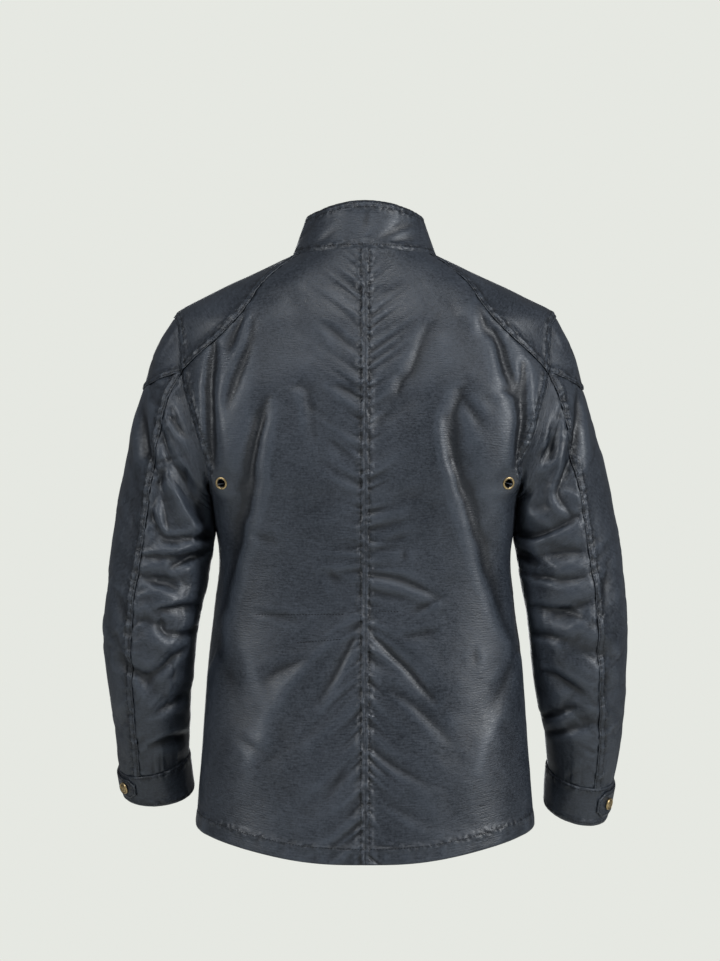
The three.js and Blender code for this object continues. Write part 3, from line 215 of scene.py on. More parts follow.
# The body's level sections: depth below the collar seam, half width, reach back, reach front, and
# how square each side's corners are
BODY = np.array([
    (-12, 74, 67, 54, 2.1, 2.1), (0, 84, 72, 60, 2.1, 2.1), (7, 89, 74.5, 63, 2.1, 2.1),
    (13, 101, 76, 65, 2.1, 2.1), (25, 126, 79, 69, 2.15, 2.15), (50, 179, 87, 76, 2.2, 2.2),
    (64, 207, 91, 80, 2.2, 2.2), (74, 226, 95, 85, 2.25, 2.25), (82, 233, 98, 88, 2.3, 2.25),
    (106, 237, 104, 97, 2.4, 2.3), (130, 238, 110, 106, 2.6, 2.35), (160, 235, 116, 115, 3, 2.45),
    (195, 228, 119, 121, 3.5, 2.5), (225, 218, 121, 125, 4, 2.6), (252, 207, 121, 127, 4.2, 2.6),
    (275, 197, 120, 128, 4.2, 2.6), (294, 188, 119, 128, 4, 2.6), (312, 182.5, 118, 127.5, 3.8, 2.6),
    (330, 180, 117, 127, 3.7, 2.6), (369, 177.5, 114, 125, 3.4, 2.6), (442, 184, 112, 123, 3.1, 2.6),
    (491, 190, 114, 124, 3, 2.55), (565, 196, 120, 128, 2.9, 2.5), (638, 202, 128, 133, 2.8, 2.45),
    (700, 206.5, 133, 137, 2.7, 2.4), (760, 210, 138, 142, 2.7, 2.4),
])
# The armhole seam from shoulder point to armpit: depth, and distance from the middle behind and ahead
ARMHOLE = np.array([
    (82.5, 233.5, 233.5), (90, 229.5, 228.5), (106, 226.5, 224.5), (130, 224.5, 220.5),
    (153.5, 222, 216.5), (175, 218.3, 211), (195, 212, 205), (222, 204.5, 198), (251, 194.5, 190.5),
    (273, 189, 187.2), (287, 187.6, 187), (294, 189, 189),
])
ARMPIT = len(ARMHOLE) - 1
STEPS = 2 * ARMPIT
YOKE_ROW = 4
# The shoulder piece's seams from the armhole to the collar: depth, distance from the middle
YOKE_BACK = [(153.5, 222), (131, 201.4), (107, 174), (77.5, 147), (40, 121.3), (18, 96)]
YOKE_FRONT = [(153.5, 216.5), (134, 203), (111, 182), (85, 156), (57, 127), (31, 99)]
YOKE_BACK_DEG, YOKE_FRONT_DEG = 23, -31
HEM_BACK, HEM_SIDE, HEM_FRONT = 741, 703, 712
SIDE_LEVELS = [678, 654, 631, 608, 584, 555, 526, 497, 468, 438, 408, 380, 352, 323, 294]
SIDE_ROWS, ARMHOLE_ROWS, YOKE_ROWS = len(SIDE_LEVELS), ARMPIT - YOKE_ROW, len(YOKE_BACK)
PANEL_ROWS = SIDE_ROWS + ARMHOLE_ROWS + YOKE_ROWS
GRID_ACROSS, GRID_DOWN = ((3.5, 2.6))
CLOSE_LINES = [0, 0.8, 1.8, 3, 4.4, 5.8, 7.4, 9, 10.8, 13]
SIDES = (("left", 1), ("right", -1))
# A grid of outer points with the way each faces, its height over the smooth form, and the smooth
# form's own points on the jacket's left
Surface = namedtuple("Surface", "points facing height base")
NOISE_TABLE, NOISE_MIX = 4096, (73856093, 19349663, 83492791)


def between(rows, column, at):
    """One column of a table at a place between its rows, smooth through each row."""
    x, y = rows[:, 0], rows[:, column]
    step = np.diff(x)
    rise = np.diff(y) / step
    inner = (rise[1:] * step[:-1] + rise[:-1] * step[1:]) / (step[:-1] + step[1:])
    slope = np.concatenate([rise[:1], inner, rise[-1:]])
    k = np.clip(np.searchsorted(x, at) - 1, 0, len(x) - 2)
    t = (at - x[k]) / step[k]
    ease = 3 * t**2 - 2 * t**3
    bend = (t**3 - 2 * t**2 + t) * slope[k] + (t**3 - t**2) * slope[k + 1]
    return (1 - ease) * y[k] + ease * y[k + 1] + step[k] * bend


def along(values, at, closed=False):
    """Evenly spaced rows of values at a place between them, smooth through each row."""
    count = len(values)
    k = np.floor(at).astype(int)
    if not closed:
        k = np.clip(k, 0, count - 2)
    t = (at - k)[..., None]
    a, b, c, d = (
        values[i % count if closed else np.clip(i, 0, count - 1)] for i in (k - 1, k, k + 1, k + 2)
    )
    return b + 0.5 * t * (c - a + t * (2 * a - 5 * b + 4 * c - d + t * (3 * (b - c) + d - a)))


def unit(v):
    return v / np.maximum(np.linalg.norm(v, axis=-1, keepdims=True), 1e-9)


def smooth(x):
    x = np.clip(x, 0, 1)
    return x * x * (3 - 2 * x)


def dent(x, width):
    return np.exp(-((x / width) ** 2))


def smooth_body(deg, z):
    turn = np.radians(deg)
    behind = np.sin(turn) > 0
    reach = np.where(behind, between(BODY, 2, -z), between(BODY, 3, -z))
    n = np.where(behind, between(BODY, 4, -z), between(BODY, 5, -z))
    c = np.abs(np.cos(turn)) / between(BODY, 1, -z)
    s = np.abs(np.sin(turn)) / reach
    radius = (c**n + s**n) ** (-1 / n)
    return np.stack([radius * np.cos(turn), radius * np.sin(turn), z + 0 * radius], -1)


def body_normal(deg, z):
    across = smooth_body(deg + 0.5, z) - smooth_body(deg - 0.5, z)
    return unit(np.cross(across, smooth_body(deg, z + 0.5) - smooth_body(deg, z - 0.5)))


def body_angle(x, down, behind):
    x, down = np.asarray(x, float), np.asarray(down, float)
    n = between(BODY, 4 if behind else 5, down)
    reach = between(BODY, 2 if behind else 3, down)
    share = np.minimum(1, x / between(BODY, 1, down))
    y = reach * np.maximum(0, 1 - share**n) ** (1 / n)
    return np.degrees(np.arctan2(y if behind else -y, x))


def neck_z(deg):
    turn = np.clip(-deg, 0, 90) / 90
    ahead = -5 - 55 * (1 - np.cos(np.pi * turn**1.3)) / 2
    return np.where(deg >= 0, -5 * np.cos(np.radians(deg)) ** 2, ahead)


def hem_z(deg):
    turn = np.radians(deg)
    behind = -HEM_BACK + (HEM_BACK - HEM_SIDE) * np.abs(np.cos(turn)) ** 3.35
    return np.where(deg >= 0, behind, -HEM_SIDE - (HEM_FRONT - HEM_SIDE) * np.sin(turn) ** 2)


armhole_ring = np.array([
    (body_angle(ARMHOLE[k, 1], ARMHOLE[k, 0], True), -ARMHOLE[k, 0]) for k in range(ARMPIT + 1)
] + [
    (body_angle(ARMHOLE[k, 2], ARMHOLE[k, 0], False), -ARMHOLE[k, 0]) for k in range(ARMPIT - 1, 0, -1)
])


def armhole_place(step):
    at = along(armhole_ring, np.asarray(step, float), closed=True)
    return at[..., 0], at[..., 1]


def yoke_place(row, behind):
    """A place on a seam of the shoulder piece, by row from the armhole up to the collar."""
    seam, deg = (YOKE_BACK, YOKE_BACK_DEG) if behind else (YOKE_FRONT, YOKE_FRONT_DEG)
    corner = armhole_place(YOKE_ROW if behind else STEPS - YOKE_ROW)
    rows = [(float(corner[0]), float(corner[1]))]
    rows += [(float(body_angle(x, down, behind)), -down) for down, x in seam[1:]]
    rows.append((deg, float(neck_z(deg))))
    at = along(np.array(rows), np.asarray(row, float))
    return at[..., 0], at[..., 1]


def noise(points, size, seed):
    """Smooth noise from -1 to 1 with lumps of about the given size."""
    table = np.random.default_rng(seed).uniform(-1, 1, NOISE_TABLE)
    cell = points / size
    low = np.floor(cell).astype(np.int64)
    t = cell - low
    t = t**3 * (t * (6 * t - 15) + 10)
    total = 0
    for corner in range(8):
        pick = np.array([corner & 1, corner >> 1 & 1, corner >> 2 & 1])
        x, y, z = np.moveaxis((low + pick) * NOISE_MIX, -1, 0)
        total = total + np.prod(np.where(pick, t, 1 - t), axis=-1) * table[(x ^ y ^ z) & (NOISE_TABLE - 1)]
    return total


def noise_along(s, size, seed):
    return noise(np.stack([s, 0 * s, 0 * s], -1), size, seed)


def near_path(path, x, y):
    """Signed distance from a path of straight runs, and the place along it from 0 to 1."""
    best = np.full(x.shape, np.inf)
    signed, place = np.zeros(x.shape), np.zeros(x.shape)
    for i in range(len(path) - 1):
        (x0, y0), (x1, y1) = path[i], path[i + 1]
        dx, dy = x1 - x0, y1 - y0
        t = np.clip(((x - x0) * dx + (y - y0) * dy) / (dx * dx + dy * dy), 0, 1)
        off_x, off_y = x - x0 - t * dx, y - y0 - t * dy
        off = np.hypot(off_x, off_y)
        nearer = off < best
        best = np.where(nearer, off, best)
        signed = np.where(nearer, np.where(dx * off_y - dy * off_x >= 0, off, -off), signed)
        place = np.where(nearer, (i + t) / (len(path) - 1), place)
    return signed, place


def rounded(path):
    path = np.array(path, float)
    return path if len(path) < 3 else along(path, np.linspace(0, len(path) - 1, 5 * len(path)))


CREASE_WOBBLE, RIDGE, RIDGE_AT = 0.22, 0.22, 1.9


def creases(table, x, y, wobble):
    """Troughs along paths with a low ridge on each side. Where a crease leans, one side is steeper."""
    height = np.zeros(x.shape)
    for path, wide, deep, lean in table:
        signed, place = near_path(rounded(path), x, y)
        signed = signed + CREASE_WOBBLE * wide * wobble
        steep = np.where(signed * lean > 0, 1 - 0.5 * abs(lean), 1 + 0.7 * abs(lean))
        off = np.abs(signed) / (wide * (0.7 + 0.5 * place) * steep)
        ends = np.sin(np.pi * (0.1 + 0.8 * place)) ** 0.8
        height -= deep * ends * (np.exp(-(off**1.6)) - RIDGE * dent(off - RIDGE_AT, 1))
    return height


VALLEY = 0.16


def crackle(u, v, turn, long, short, seed):
    """Crisp valley lines that waxed cloth keeps, in patches, longest along one direction."""
    c, s = math.cos(math.radians(turn)), math.sin(math.radians(turn))
    at = np.stack([(u * c + v * s) / long, (v * c - u * s) / short, 0 * u], -1)
    n = noise(at, 1, seed)
    patch = smooth(0.35 + 1.6 * noise(at * 0.4 + 7, 1, seed + 1))
    return patch * (0.7 * n - np.exp(-np.abs(n) / VALLEY))


# Creases of the back by X and depth below the collar seam: path, width, depth inwards and lean. The
# first eleven are the main folds
BACK_CREASES = [
    ([(183, 120), (188, 166), (188, 214), (184, 262)], 6, 8, -0.4),
    ([(118, 196), (127, 222), (134, 268), (150, 340), (170, 415), (186, 490)], 13, 6, 0.75),
    ([(150, 130), (172, 188)], 12, 2.5, 0), ([(188, 470), (150, 556)], 17, 3.4, 0),
    ([(14, 446), (66, 500), (140, 592)], 13, -2.6, 0), ([(120, 586), (152, 640)], 16, -2.4, 0),
    ([(-150, 92), (-184, 176), (-184, 262)], 10, 4, 0),
    ([(-113, 178), (-101, 206), (-103, 240), (-116, 285), (-157, 415), (-184, 483)], 12, 6, -0.75),
    ([(-82, 90), (-58, 150), (-22, 224)], 22, 3.6, 0), ([(-12, 468), (-52, 508), (-88, 552)], 13, 2.4, 0),
    ([(-168, 560), (-128, 640)], 17, -2.6, 0),
    ([(145, 82), (162, 118)], 6, 2.4, 0.5), ([(140, 88), (152, 126), (177, 190)], 7, -3, 0),
    ([(134, 90), (146, 140), (165, 192)], 5, 2.4, 0.5), ([(123, 203), (130, 231), (140, 280)], 6, 3.6, 0.8),
    ([(85, 168), (67, 180), (58, 233)], 11, 2.8, -0.7), ([(46, 95), (13, 126)], 6, 1.8, 0.5),
    ([(37, 169), (10, 178)], 6, 1.8, 0.5), ([(42, 234), (12, 256)], 6, 1.9, 0.5),
    ([(11, 466), (29, 504), (56, 548)], 5, 2.4, 0.6), ([(64, 496), (125, 520)], 9, 1.8, -0.4),
    ([(149, 593), (121, 614)], 8, 1.8, 0), ([(133, 439), (76, 452)], 5, 1.3, 0),
    ([(44, 392), (26, 403)], 7, 2, 0.4), ([(137, 346), (103, 358)], 7, 1.6, 0),
    ([(-157, 103), (-184, 181)], 6, 4.6, 0.7), ([(-184, 181), (-158, 170)], 5, 2, 0),
    ([(-192, 142), (-193, 200), (-188, 264)], 5.5, 7.5, 0.4),
    ([(-139, 76), (-150, 112)], 6, 2.6, 0.5), ([(-113, 176), (-101, 204), (-104, 250)], 4, -2, 0),
    ([(-121, 184), (-139, 220)], 7, 2.6, 0), ([(-78, 96), (-50, 160), (-22, 214)], 12, 1.8, -0.7),
    ([(-8, 394), (-45, 402), (-82, 420)], 5, 2.2, 0.3), ([(-11, 404), (-60, 418), (-88, 430)], 5, -2, 0),
    ([(-90, 424), (-56, 441)], 5, 2, 0.5), ([(-4, 466), (-41, 500), (-84, 545)], 5, 2.9, -0.6),
    ([(-14, 466), (-55, 506), (-90, 546)], 5, -1.6, 0),
    ([(-23, 529), (-70, 562), (-100, 592)], 7, 2, -0.6), ([(-8, 605), (-44, 628), (-82, 648)], 7, 1.9, -0.6),
    ([(-5, 652), (-35, 673), (-90, 697)], 8, 1.6, -0.6), ([(-17, 360), (-50, 352)], 6, 1.9, 0.5),
    ([(-46, 366), (-48, 380)], 5, 1.6, 0), ([(-44, 470), (-90, 462)], 6, 1.8, 0.4),
    ([(-184, 490), (-157, 552)], 8, 1.9, 0), ([(-131, 484), (-133, 504)], 5, 1.6, 0),
    ([(90, 60), (60, 140)], 16, 1.4, 0.4), ([(-100, 60), (-120, 130)], 14, 1.4, 0.4),
    ([(110, 640), (60, 690)], 16, 1.5, 0.4), ([(20, 300), (95, 330)], 13, 1.3, 0.5),
    ([(-40, 290), (-96, 330)], 13, 1.3, 0.5), ([(8, 600), (52, 668)], 10, 1.6, 0.6),
    ([(8, 56), (70, 44)], 9, 1.2, 0.5), ([(-8, 60), (-76, 40)], 9, 1.2, 0.5),
]
FRONT_CREASES = [
    ([(176, 116), (168, 190), (178, 262)], 14, 6, 0), ([(92, 250), (120, 330), (150, 440)], 18, 5, 0),
    ([(60, 120), (110, 190)], 18, 3, 0), ([(-170, 110), (-166, 192), (-180, 262)], 14, 6, 0),
    ([(-84, 236), (-118, 320), (-156, 452)], 18, 5, 0), ([(-56, 130), (-104, 204)], 18, 3, 0),
    ([(150, 92), (138, 150), (150, 214)], 7, 3.4, 0.6), ([(-148, 96), (-140, 160)], 7, 3.2, 0.6),
    ([(24, 380), (88, 412)], 8, 2.6, 0.5), ([(-20, 352), (-84, 380)], 8, 2.6, 0.5),
    ([(30, 440), (110, 462)], 9, 2.3, -0.5), ([(-26, 430), (-120, 470)], 9, 2.3, -0.5),
    ([(14, 180), (52, 236)], 10, 2.3, 0.5), ([(-16, 210), (-66, 262)], 10, 2.3, 0.5),
    ([(20, 560), (44, 640)], 12, 1.8, 0.4), ([(-22, 540), (-40, 622)], 12, 1.8, 0.4),
    ([(100, 210), (60, 300)], 10, 2, 0.5), ([(-120, 180), (-90, 300)], 10, 2, 0.5),
]
# Faint rows of stitches at the waist, by X and depth
WAIST_ROWS = {
    "left": ([(132, 444), (26, 443)], [(82, 477), (29, 473)]),
    "right": ([(-12, 439), (-41, 440)],),
}
# Where an arm presses the cloth in at the side: how far, how far down, and how far round and down
PRESSED, PRESSED_DOWN, PRESSED_REACH = 5, 328, (48, 32)
BODY_CRUMPLE, BODY_CRACKLE, AROUND = 0.6, 0.34, 3.2


def crumple(point, strength):
    """The small soft bends that waxed cotton keeps from being worn."""
    broad = noise(point * np.array([1, 1, 0.7]), 62, 11)
    bent = noise(point + 14 * np.stack([broad, 0 * broad, -broad], -1), 34, 23)
    fine = noise(point, 13, 37)
    return strength * (1.3 * broad + 0.8 * bent + 0.22 * fine)


def body_relief(side, deg, z, point):
    """Height of creases and crumples on the body's smooth surface, for a point of the left half."""
    worn = point * np.array([side, 1, 1])
    wobble = noise(worn, 24, 5)
    x, down = worn[..., 0], -z
    behind = point[..., 1] > 0
    folds = np.where(behind, *(creases(table, x, down, wobble) for table in (BACK_CREASES, FRONT_CREASES)))
    for path in WAIST_ROWS["left"] + WAIST_ROWS["right"]:
        signed, place = near_path(path, x, down)
        folds = folds - 0.4 * dent(signed, 1.1) * behind * (np.abs(place - 0.5) < 0.5)
    around = deg * AROUND
    fine = crackle(around, down, 68 * side, 70, 17, 41)
    fine = fine + 0.7 * crackle(around, down, -35 * side, 46, 13, 51)
    middle = dent(point[..., 0], 70) * behind
    reach_round, reach_down = PRESSED_REACH
    pressed = PRESSED * dent(point[..., 1], reach_round) * dent(down - PRESSED_DOWN, reach_down)
    calm = smooth(np.abs(point[..., 1]) / 45)
    return calm * folds + crumple(worn, BODY_CRUMPLE) + (BODY_CRACKLE - 0.16 * middle) * fine + pressed


def seam_of(points):
    """A seam's line with the length so far."""
    runs = np.linalg.norm(np.diff(points, axis=0), axis=1)
    return points, np.concatenate([[0], np.cumsum(runs)])


def from_seam(points, seam):
    """Distance from a seam's line, and the length along it at the nearest place."""
    line, length = seam
    a, d = line[:-1], np.diff(line, axis=0)
    flat = points.reshape(-1, 3)
    away, at = np.empty(len(flat)), np.empty(len(flat))
    for start in range(0, len(flat), 4000):
        p = flat[start:start + 4000, None] - a
        t = np.clip((p * d).sum(-1) / (d * d).sum(-1), 0, 1)
        off = np.linalg.norm(p - t[..., None] * d, axis=-1)
        k = off.argmin(1)
        pick = np.arange(len(k))
        away[start:start + 4000] = off[pick, k]
        at[start:start + 4000] = length[k] + t[pick, k] * np.diff(length)[k]
    return away.reshape(points.shape[:-1]), at.reshape(points.shape[:-1])


yoke_rows = np.linspace(0, YOKE_ROWS, 60)
neck_turn = np.linspace(90, -86, 90)
SEAMS = {
    "yoke_back": seam_of(smooth_body(*yoke_place(yoke_rows, True))),
    "yoke_front": seam_of(smooth_body(*yoke_place(yoke_rows, False))),
    "armhole": seam_of(smooth_body(*armhole_place(np.linspace(0, STEPS, 180)))),
    "side": seam_of(smooth_body(np.zeros(40), np.linspace(-HEM_SIDE, -294, 40))),
    "neck": seam_of(smooth_body(neck_turn, neck_z(neck_turn))),
}


def puckers(away, at, reach, lumps, seed, slant=0.0):
    """Small wrinkles that start at a seam and die out away from it."""
    away = np.maximum(away, 0)
    start = at + slant * away
    long = reach * np.clip(0.55 + 0.75 * noise_along(start, 2.6 * lumps, seed + 1), 0.12, 1.3)
    return noise_along(start, lumps, seed) * np.exp(-((away / long) ** 1.3))


LAP_LIFT, STITCH_PULL = 0.9, 0.6


def lapped(away, at, rows, seed):
    """The upper cloth of a lapped seam: its turned edge, and its stitch rows that pull it down."""
    last = rows[-1]
    height = LAP_LIFT * (1 - smooth((away - last + 1) / 4)) - 0.6 * dent(away, 0.8)
    for row in rows:
        height = height - STITCH_PULL * dent(away - row, 1.0)
    beads = noise_along(at, 3.4, seed) * np.sin(np.pi * np.clip(away / last, 0, 1))
    return height + 0.5 * beads + 0.6 * puckers(np.maximum(away - last, 0), at, 10, 4.2, seed + 7, 0.3)


def under_lap(away, at, seed):
    """The under cloth of a lapped seam, which dips beside it and puckers."""
    return -0.75 * dent(away, 2.4) + 0.45 * puckers(away, at, 9, 4.2, seed, -0.3)


ARMHOLE_STITCHES, ARMHOLE_REACH = (3.2, 9.0), 60
YOKE_STITCHES = (2.2, 7.4)
CENTRE_STITCH = 5
HEM_STITCH = 19
# The centre seam's puckers by depth: which way they fan out, and how strong they are
PUCKER_SLANT = [0, 250, 400, 560, 741], [-0.75, -0.6, 0.1, 0.95, 0.75]
PUCKER_STRENGTH = [0, 60, 160, 420, 741], [0.8, 1.1, 1.5, 1.6, 1.9]


def centre_seam(side, point, z):
    """The felled seam down the middle of the back, with its beaded band and the fans of puckers."""
    away = np.abs(point[..., 0])
    band = 0.8 * (1 - smooth((away - CENTRE_STITCH + 0.8) / 3))
    groove = -1.2 * dent(away - CENTRE_STITCH, 1.3)
    beads = 0.65 * noise_along(z + 0.7 * point[..., 0], 3.6, 61) * (1 - smooth((away - CENTRE_STITCH) / 2))
    beyond = np.maximum(away - CENTRE_STITCH, 0)
    slant = np.interp(-z, *PUCKER_SLANT)
    strong = np.interp(-z, *PUCKER_STRENGTH) * (1.15 if side < 0 else 1)
    seed = 71 if side > 0 else 83
    fans = 1.1 * puckers(beyond, z, 17, 4.2, seed, slant)
    fans = fans + 0.9 * puckers(beyond, z, 34, 6.2, seed + 10, slant)
    fans = fans + 0.75 * puckers(beyond, z, 60, 11, seed + 20, slant)
    return band + groove + beads + strong * fans * (away > CENTRE_STITCH - 2)


def body_seams(points, yoke, seed):
    """A panel's lap at the armhole, and its dips below the shoulder piece, at the neck and the side."""
    away, at = from_seam(points, SEAMS["armhole"])
    height = lapped(away, at, ARMHOLE_STITCHES, seed) * (away < ARMHOLE_REACH)
    for step, seam in enumerate((yoke, "neck", "side"), 1):
        height += under_lap(*from_seam(points, SEAMS[seam]), seed + step)
    return height


def hem_edge(deg, z):
    """The hem is turned up and stitched once."""
    up = z - hem_z(deg)
    turned = 0.6 * (1 - smooth((up - HEM_STITCH + 1) / 4)) - 0.7 * dent(up, 1.2)
    pulls = noise_along(deg * 3.1, 6, 97) * dent(up - 9, 9)
    return turned - 0.6 * dent(up - HEM_STITCH, 1.6) + 0.8 * pulls


def spread_lines(long, start=False, end=False, step=None):
    """Shares from 0 to 1 with the grid's spacing, and closer lines beside a seam at either end."""
    step = step or GRID_ACROSS
    first, last = (np.array(CLOSE_LINES if edge else [0.0]) for edge in (start, end))
    inner_long = long - first[-1] - last[-1]
    inner = np.linspace(first[-1], long - last[-1], max(2, round(inner_long / step) + 1))
    return np.concatenate([first[:-1], inner, (long - last[::-1])[1:]]) / long


def blurred(field, times):
    for _ in range(times):
        padded = np.pad(field, 1, mode="edge")
        field = (padded[:-2, 1:-1] + padded[2:, 1:-1] + padded[1:-1, :-2] + padded[1:-1, 2:] + field) / 5
    return field


def mesh_object(name, points, faces, paint):
    """An object from points in millimetres and faces that all have the same number of corners."""
    mesh = bpy.data.meshes.new(name)
    mesh.vertices.add(len(points))
    mesh.vertices.foreach_set("co", (points * MM).ravel())
    mesh.loops.add(faces.size)
    mesh.loops.foreach_set("vertex_index", faces.ravel())
    mesh.polygons.add(len(faces))
    mesh.polygons.foreach_set("loop_start", np.arange(0, faces.size, faces.shape[1]))
    mesh.update(calc_edges=True)
    mesh.materials.append(paint)
    made = bpy.data.objects.new(name, mesh)
    scene.collection.objects.link(made)
    return made


# One stitch is a small lozenge, copied along every row
bpy.ops.mesh.primitive_uv_sphere_add(segments=5, ring_count=3, radius=1)
lozenge = bpy.context.object
lozenge.data.calc_loop_triangles()
STITCH_POINTS = np.array([v.co for v in lozenge.data.vertices])
STITCH_FACES = np.array([t.vertices for t in lozenge.data.loop_triangles])
bpy.data.objects.remove(lozenge)
STITCH_PITCH, STITCH_LIFT, STITCH_REACH = 3.6, 0.1, 0.6
STITCH_SIZE = np.array([0.48, 0.35, 1.3])
# Grid lines beside a seam that its rows of stitches are looked for between
STITCH_LINES = len(CLOSE_LINES) + 12
SEWN_REACH = 4.5


def sew(name, rows):
    """Stitches along rows of points with the way each point faces, joined in one piece."""
    copies = []
    for points, facing in rows:
        length = np.concatenate([[0], np.cumsum(np.linalg.norm(np.diff(points, axis=0), axis=1))])
        at = np.arange(STITCH_PITCH / 2, length[-1], STITCH_PITCH)
        middle, ahead, back, out = (
            np.stack([np.interp(at + step, length, field[:, k]) for k in range(3)], -1)
            for field, step in ((points, 0), (points, STITCH_REACH), (points, -STITCH_REACH), (facing, 0))
        )
        run = unit(ahead - back)
        out = unit(out - run * (out * run).sum(-1, keepdims=True))
        axes = np.stack([np.cross(out, run), out, run], 1)
        copies.append(middle[:, None] + STITCH_LIFT * out[:, None] + (STITCH_POINTS * STITCH_SIZE) @ axes)
    stitches = np.concatenate(copies)
    shift = np.arange(len(stitches))[:, None, None] * len(STITCH_POINTS)
    made = mesh_object(name, stitches.reshape(-1, 3), (STITCH_FACES + shift).reshape(-1, 3), thread)
    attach(made, "jacket")
    return made


def stitch_rows(surface, away, distances, axis=0, end=False, keep=slice(None)):
    """Rows on a surface at set distances from the seam on one edge of its grid."""
    points, facing, away = (
        np.swapaxes(field, 0, 1) if axis else field for field in (surface.points, surface.facing, away)
    )
    if end:
        points, facing, away = points[::-1], facing[::-1], away[::-1]
    near = min(len(away), STITCH_LINES)
    rising = np.maximum.accumulate(away[:near, keep], axis=0)
    rows = []
    for distance in distances:
        k = np.clip((rising < distance).sum(0), 1, near - 1)
        pick = np.arange(len(k))
        low, high = rising[k - 1, pick], rising[k, pick]
        t = np.clip((distance - low) / np.maximum(high - low, 1e-6), 0, 1)[:, None]
        rows.append([
            (1 - t) * field[:near, keep][k - 1, pick] + t * field[:near, keep][k, pick]
            for field in (points, facing)
        ])
    return rows


def row_on_back(surface, side, path):
    """A row on a back panel along a path of X and depth."""
    count = max(2, int(math.dist(path[0], path[-1]) / 2))
    way = np.linspace(path[0], path[-1], count)
    base = smooth_body(body_angle(np.abs(way[:, 0]), way[:, 1], True), -way[:, 1])
    flat = surface.base.reshape(-1, 3)
    lifted = (surface.points * np.array([side, 1, 1])).reshape(-1, 3) - flat
    off = np.linalg.norm(flat[None] - base[:, None], axis=-1)
    near = np.argsort(off, axis=1)[:, :4]
    weight = 1 / (np.take_along_axis(off, near, 1) + 0.1) ** 2
    weight = (weight / weight.sum(1, keepdims=True))[..., None]
    turned = np.array([side, 1, 1])
    facing = (surface.facing.reshape(-1, 3)[near] * weight).sum(1)
    return [(base + (lifted[near] * weight).sum(1)) * turned, unit(facing)]


def nearness(points, rows):
    """How near each point is to a row of stitches, from 1 at the thread down to 0."""
    marks = np.concatenate([np.concatenate([row, (row[1:] + row[:-1]) / 2]) for row, _ in rows])
    tree = kdtree.KDTree(len(marks))
    for k, mark in enumerate(marks):
        tree.insert(mark, k)
    tree.balance()
    return dent(np.array([tree.find(point)[2] for point in points]), SEWN_REACH)


PANEL_WALL, MERGED = 1.6, 0.00002
WEAR_AND_SHADE_BLUR = 12


def raised(side, base, facing, height):
    """The outer surface over points of the smooth form, on its own side of the jacket."""
    turned = np.array([side, 1, 1])
    return Surface((base + facing * height[..., None]) * turned, facing * turned, height, base)


def new_sheet(part, surface, wall, rows=(), faint=(), drop=None, paint=waxed_cotton):
    """A sheet of cloth over one part, with its stitches, an attribute that paints paler ridges (rubbed wax
    and painted highlight) and painted shade in hollows, its nearness to stitches, and its UV map in metres.
    """
    points, facing, height, _ = surface
    columns, lines = points.shape[:2]
    at = np.arange(columns * lines).reshape(columns, lines)
    quads = np.stack([at[:-1, :-1], at[1:, :-1], at[1:, 1:], at[:-1, 1:]], -1).reshape(-1, 4)
    across, upward = points[1:, :-1] - points[:-1, :-1], points[:-1, 1:] - points[:-1, :-1]
    if (np.cross(across, upward) * facing[:-1, :-1]).sum() < 0:
        quads = quads[:, ::-1]
    if drop is not None:
        quads = quads[~drop.ravel()[quads].all(1)]
    sheet = mesh_object(f"cloth_{part}", points.reshape(-1, 3), quads, paint)
    mesh = sheet.data
    # Height over its blurred self, which the cloth's colour turns into paler raised creases (rubbed wax and
    # painted highlight) and painted shade in hollows
    wear_and_painted_light = (height - blurred(height, WEAR_AND_SHADE_BLUR)).ravel()
    near = nearness(points.reshape(-1, 3), rows) if rows else np.zeros(wear_and_painted_light.size)
    for name, values in (("wear_and_painted_light", wear_and_painted_light), ("sewn", near)):
        mesh.attributes.new(name, "FLOAT", "POINT").data.foreach_set("value", values.astype(np.float32))
    lengths = [np.linalg.norm(np.diff(points, axis=k), axis=-1).mean(1 - k) * MM for k in (0, 1)]
    grid = np.stack(np.meshgrid(*[np.concatenate([[0], np.cumsum(s)]) for s in lengths], indexing="ij"), -1)
    layer = mesh.uv_layers.new(name="cloth")
    layer.data.foreach_set("uv", grid.reshape(-1, 2)[quads.ravel()].astype(np.float32).ravel())
    bpy.context.view_layer.objects.active = sheet
    sheet.select_set(True)
    bpy.ops.object.mode_set(mode="EDIT")
    bpy.ops.mesh.select_all(action="SELECT")
    bpy.ops.mesh.delete_loose()
    bpy.ops.mesh.select_all(action="SELECT")
    bpy.ops.mesh.remove_doubles(threshold=MERGED)
    bpy.ops.object.mode_set(mode="OBJECT")
    bpy.ops.object.shade_smooth()
    sheet.select_set(False)
    solid = sheet.modifiers.new("wall", "SOLIDIFY")
    solid.thickness = wall * MM
    solid.offset = -1
    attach(sheet, "jacket")
    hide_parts(part)
    sewn = [sew(f"stitches_{part}", [*rows, *faint])] if rows else []


def patch_places(left, right, bottom, top, us, vs):
    """Angle and height all over a patch of the body between four edges."""
    u, v = us[:, None], vs[None, :]
    places = []
    for n in (0, 1):
        l, r, b, t = left[n][None, :], right[n][None, :], bottom[n][:, None], top[n][:, None]
        edges = (1 - u) * l + u * r + (1 - v) * b + v * t
        corners = (1 - v) * ((1 - u) * b[0] + u * b[-1]) + v * ((1 - u) * t[0] + u * t[-1])
        places.append(edges - corners)
    return places


# Stretches of a panel's outer edge: first and last row, length, and whether a seam ends it below
# and above
PANEL_PARTS = [
    (0, SIDE_ROWS, 409, True, False),
    (SIDE_ROWS, SIDE_ROWS + ARMHOLE_ROWS, 172, False, False),
    (SIDE_ROWS + ARMHOLE_ROWS, PANEL_ROWS, 184, False, True),
]
# Above this level a panel's rows climb from the middle to the armpit, below it they drop to the hem
LEVEL_WAIST = 526


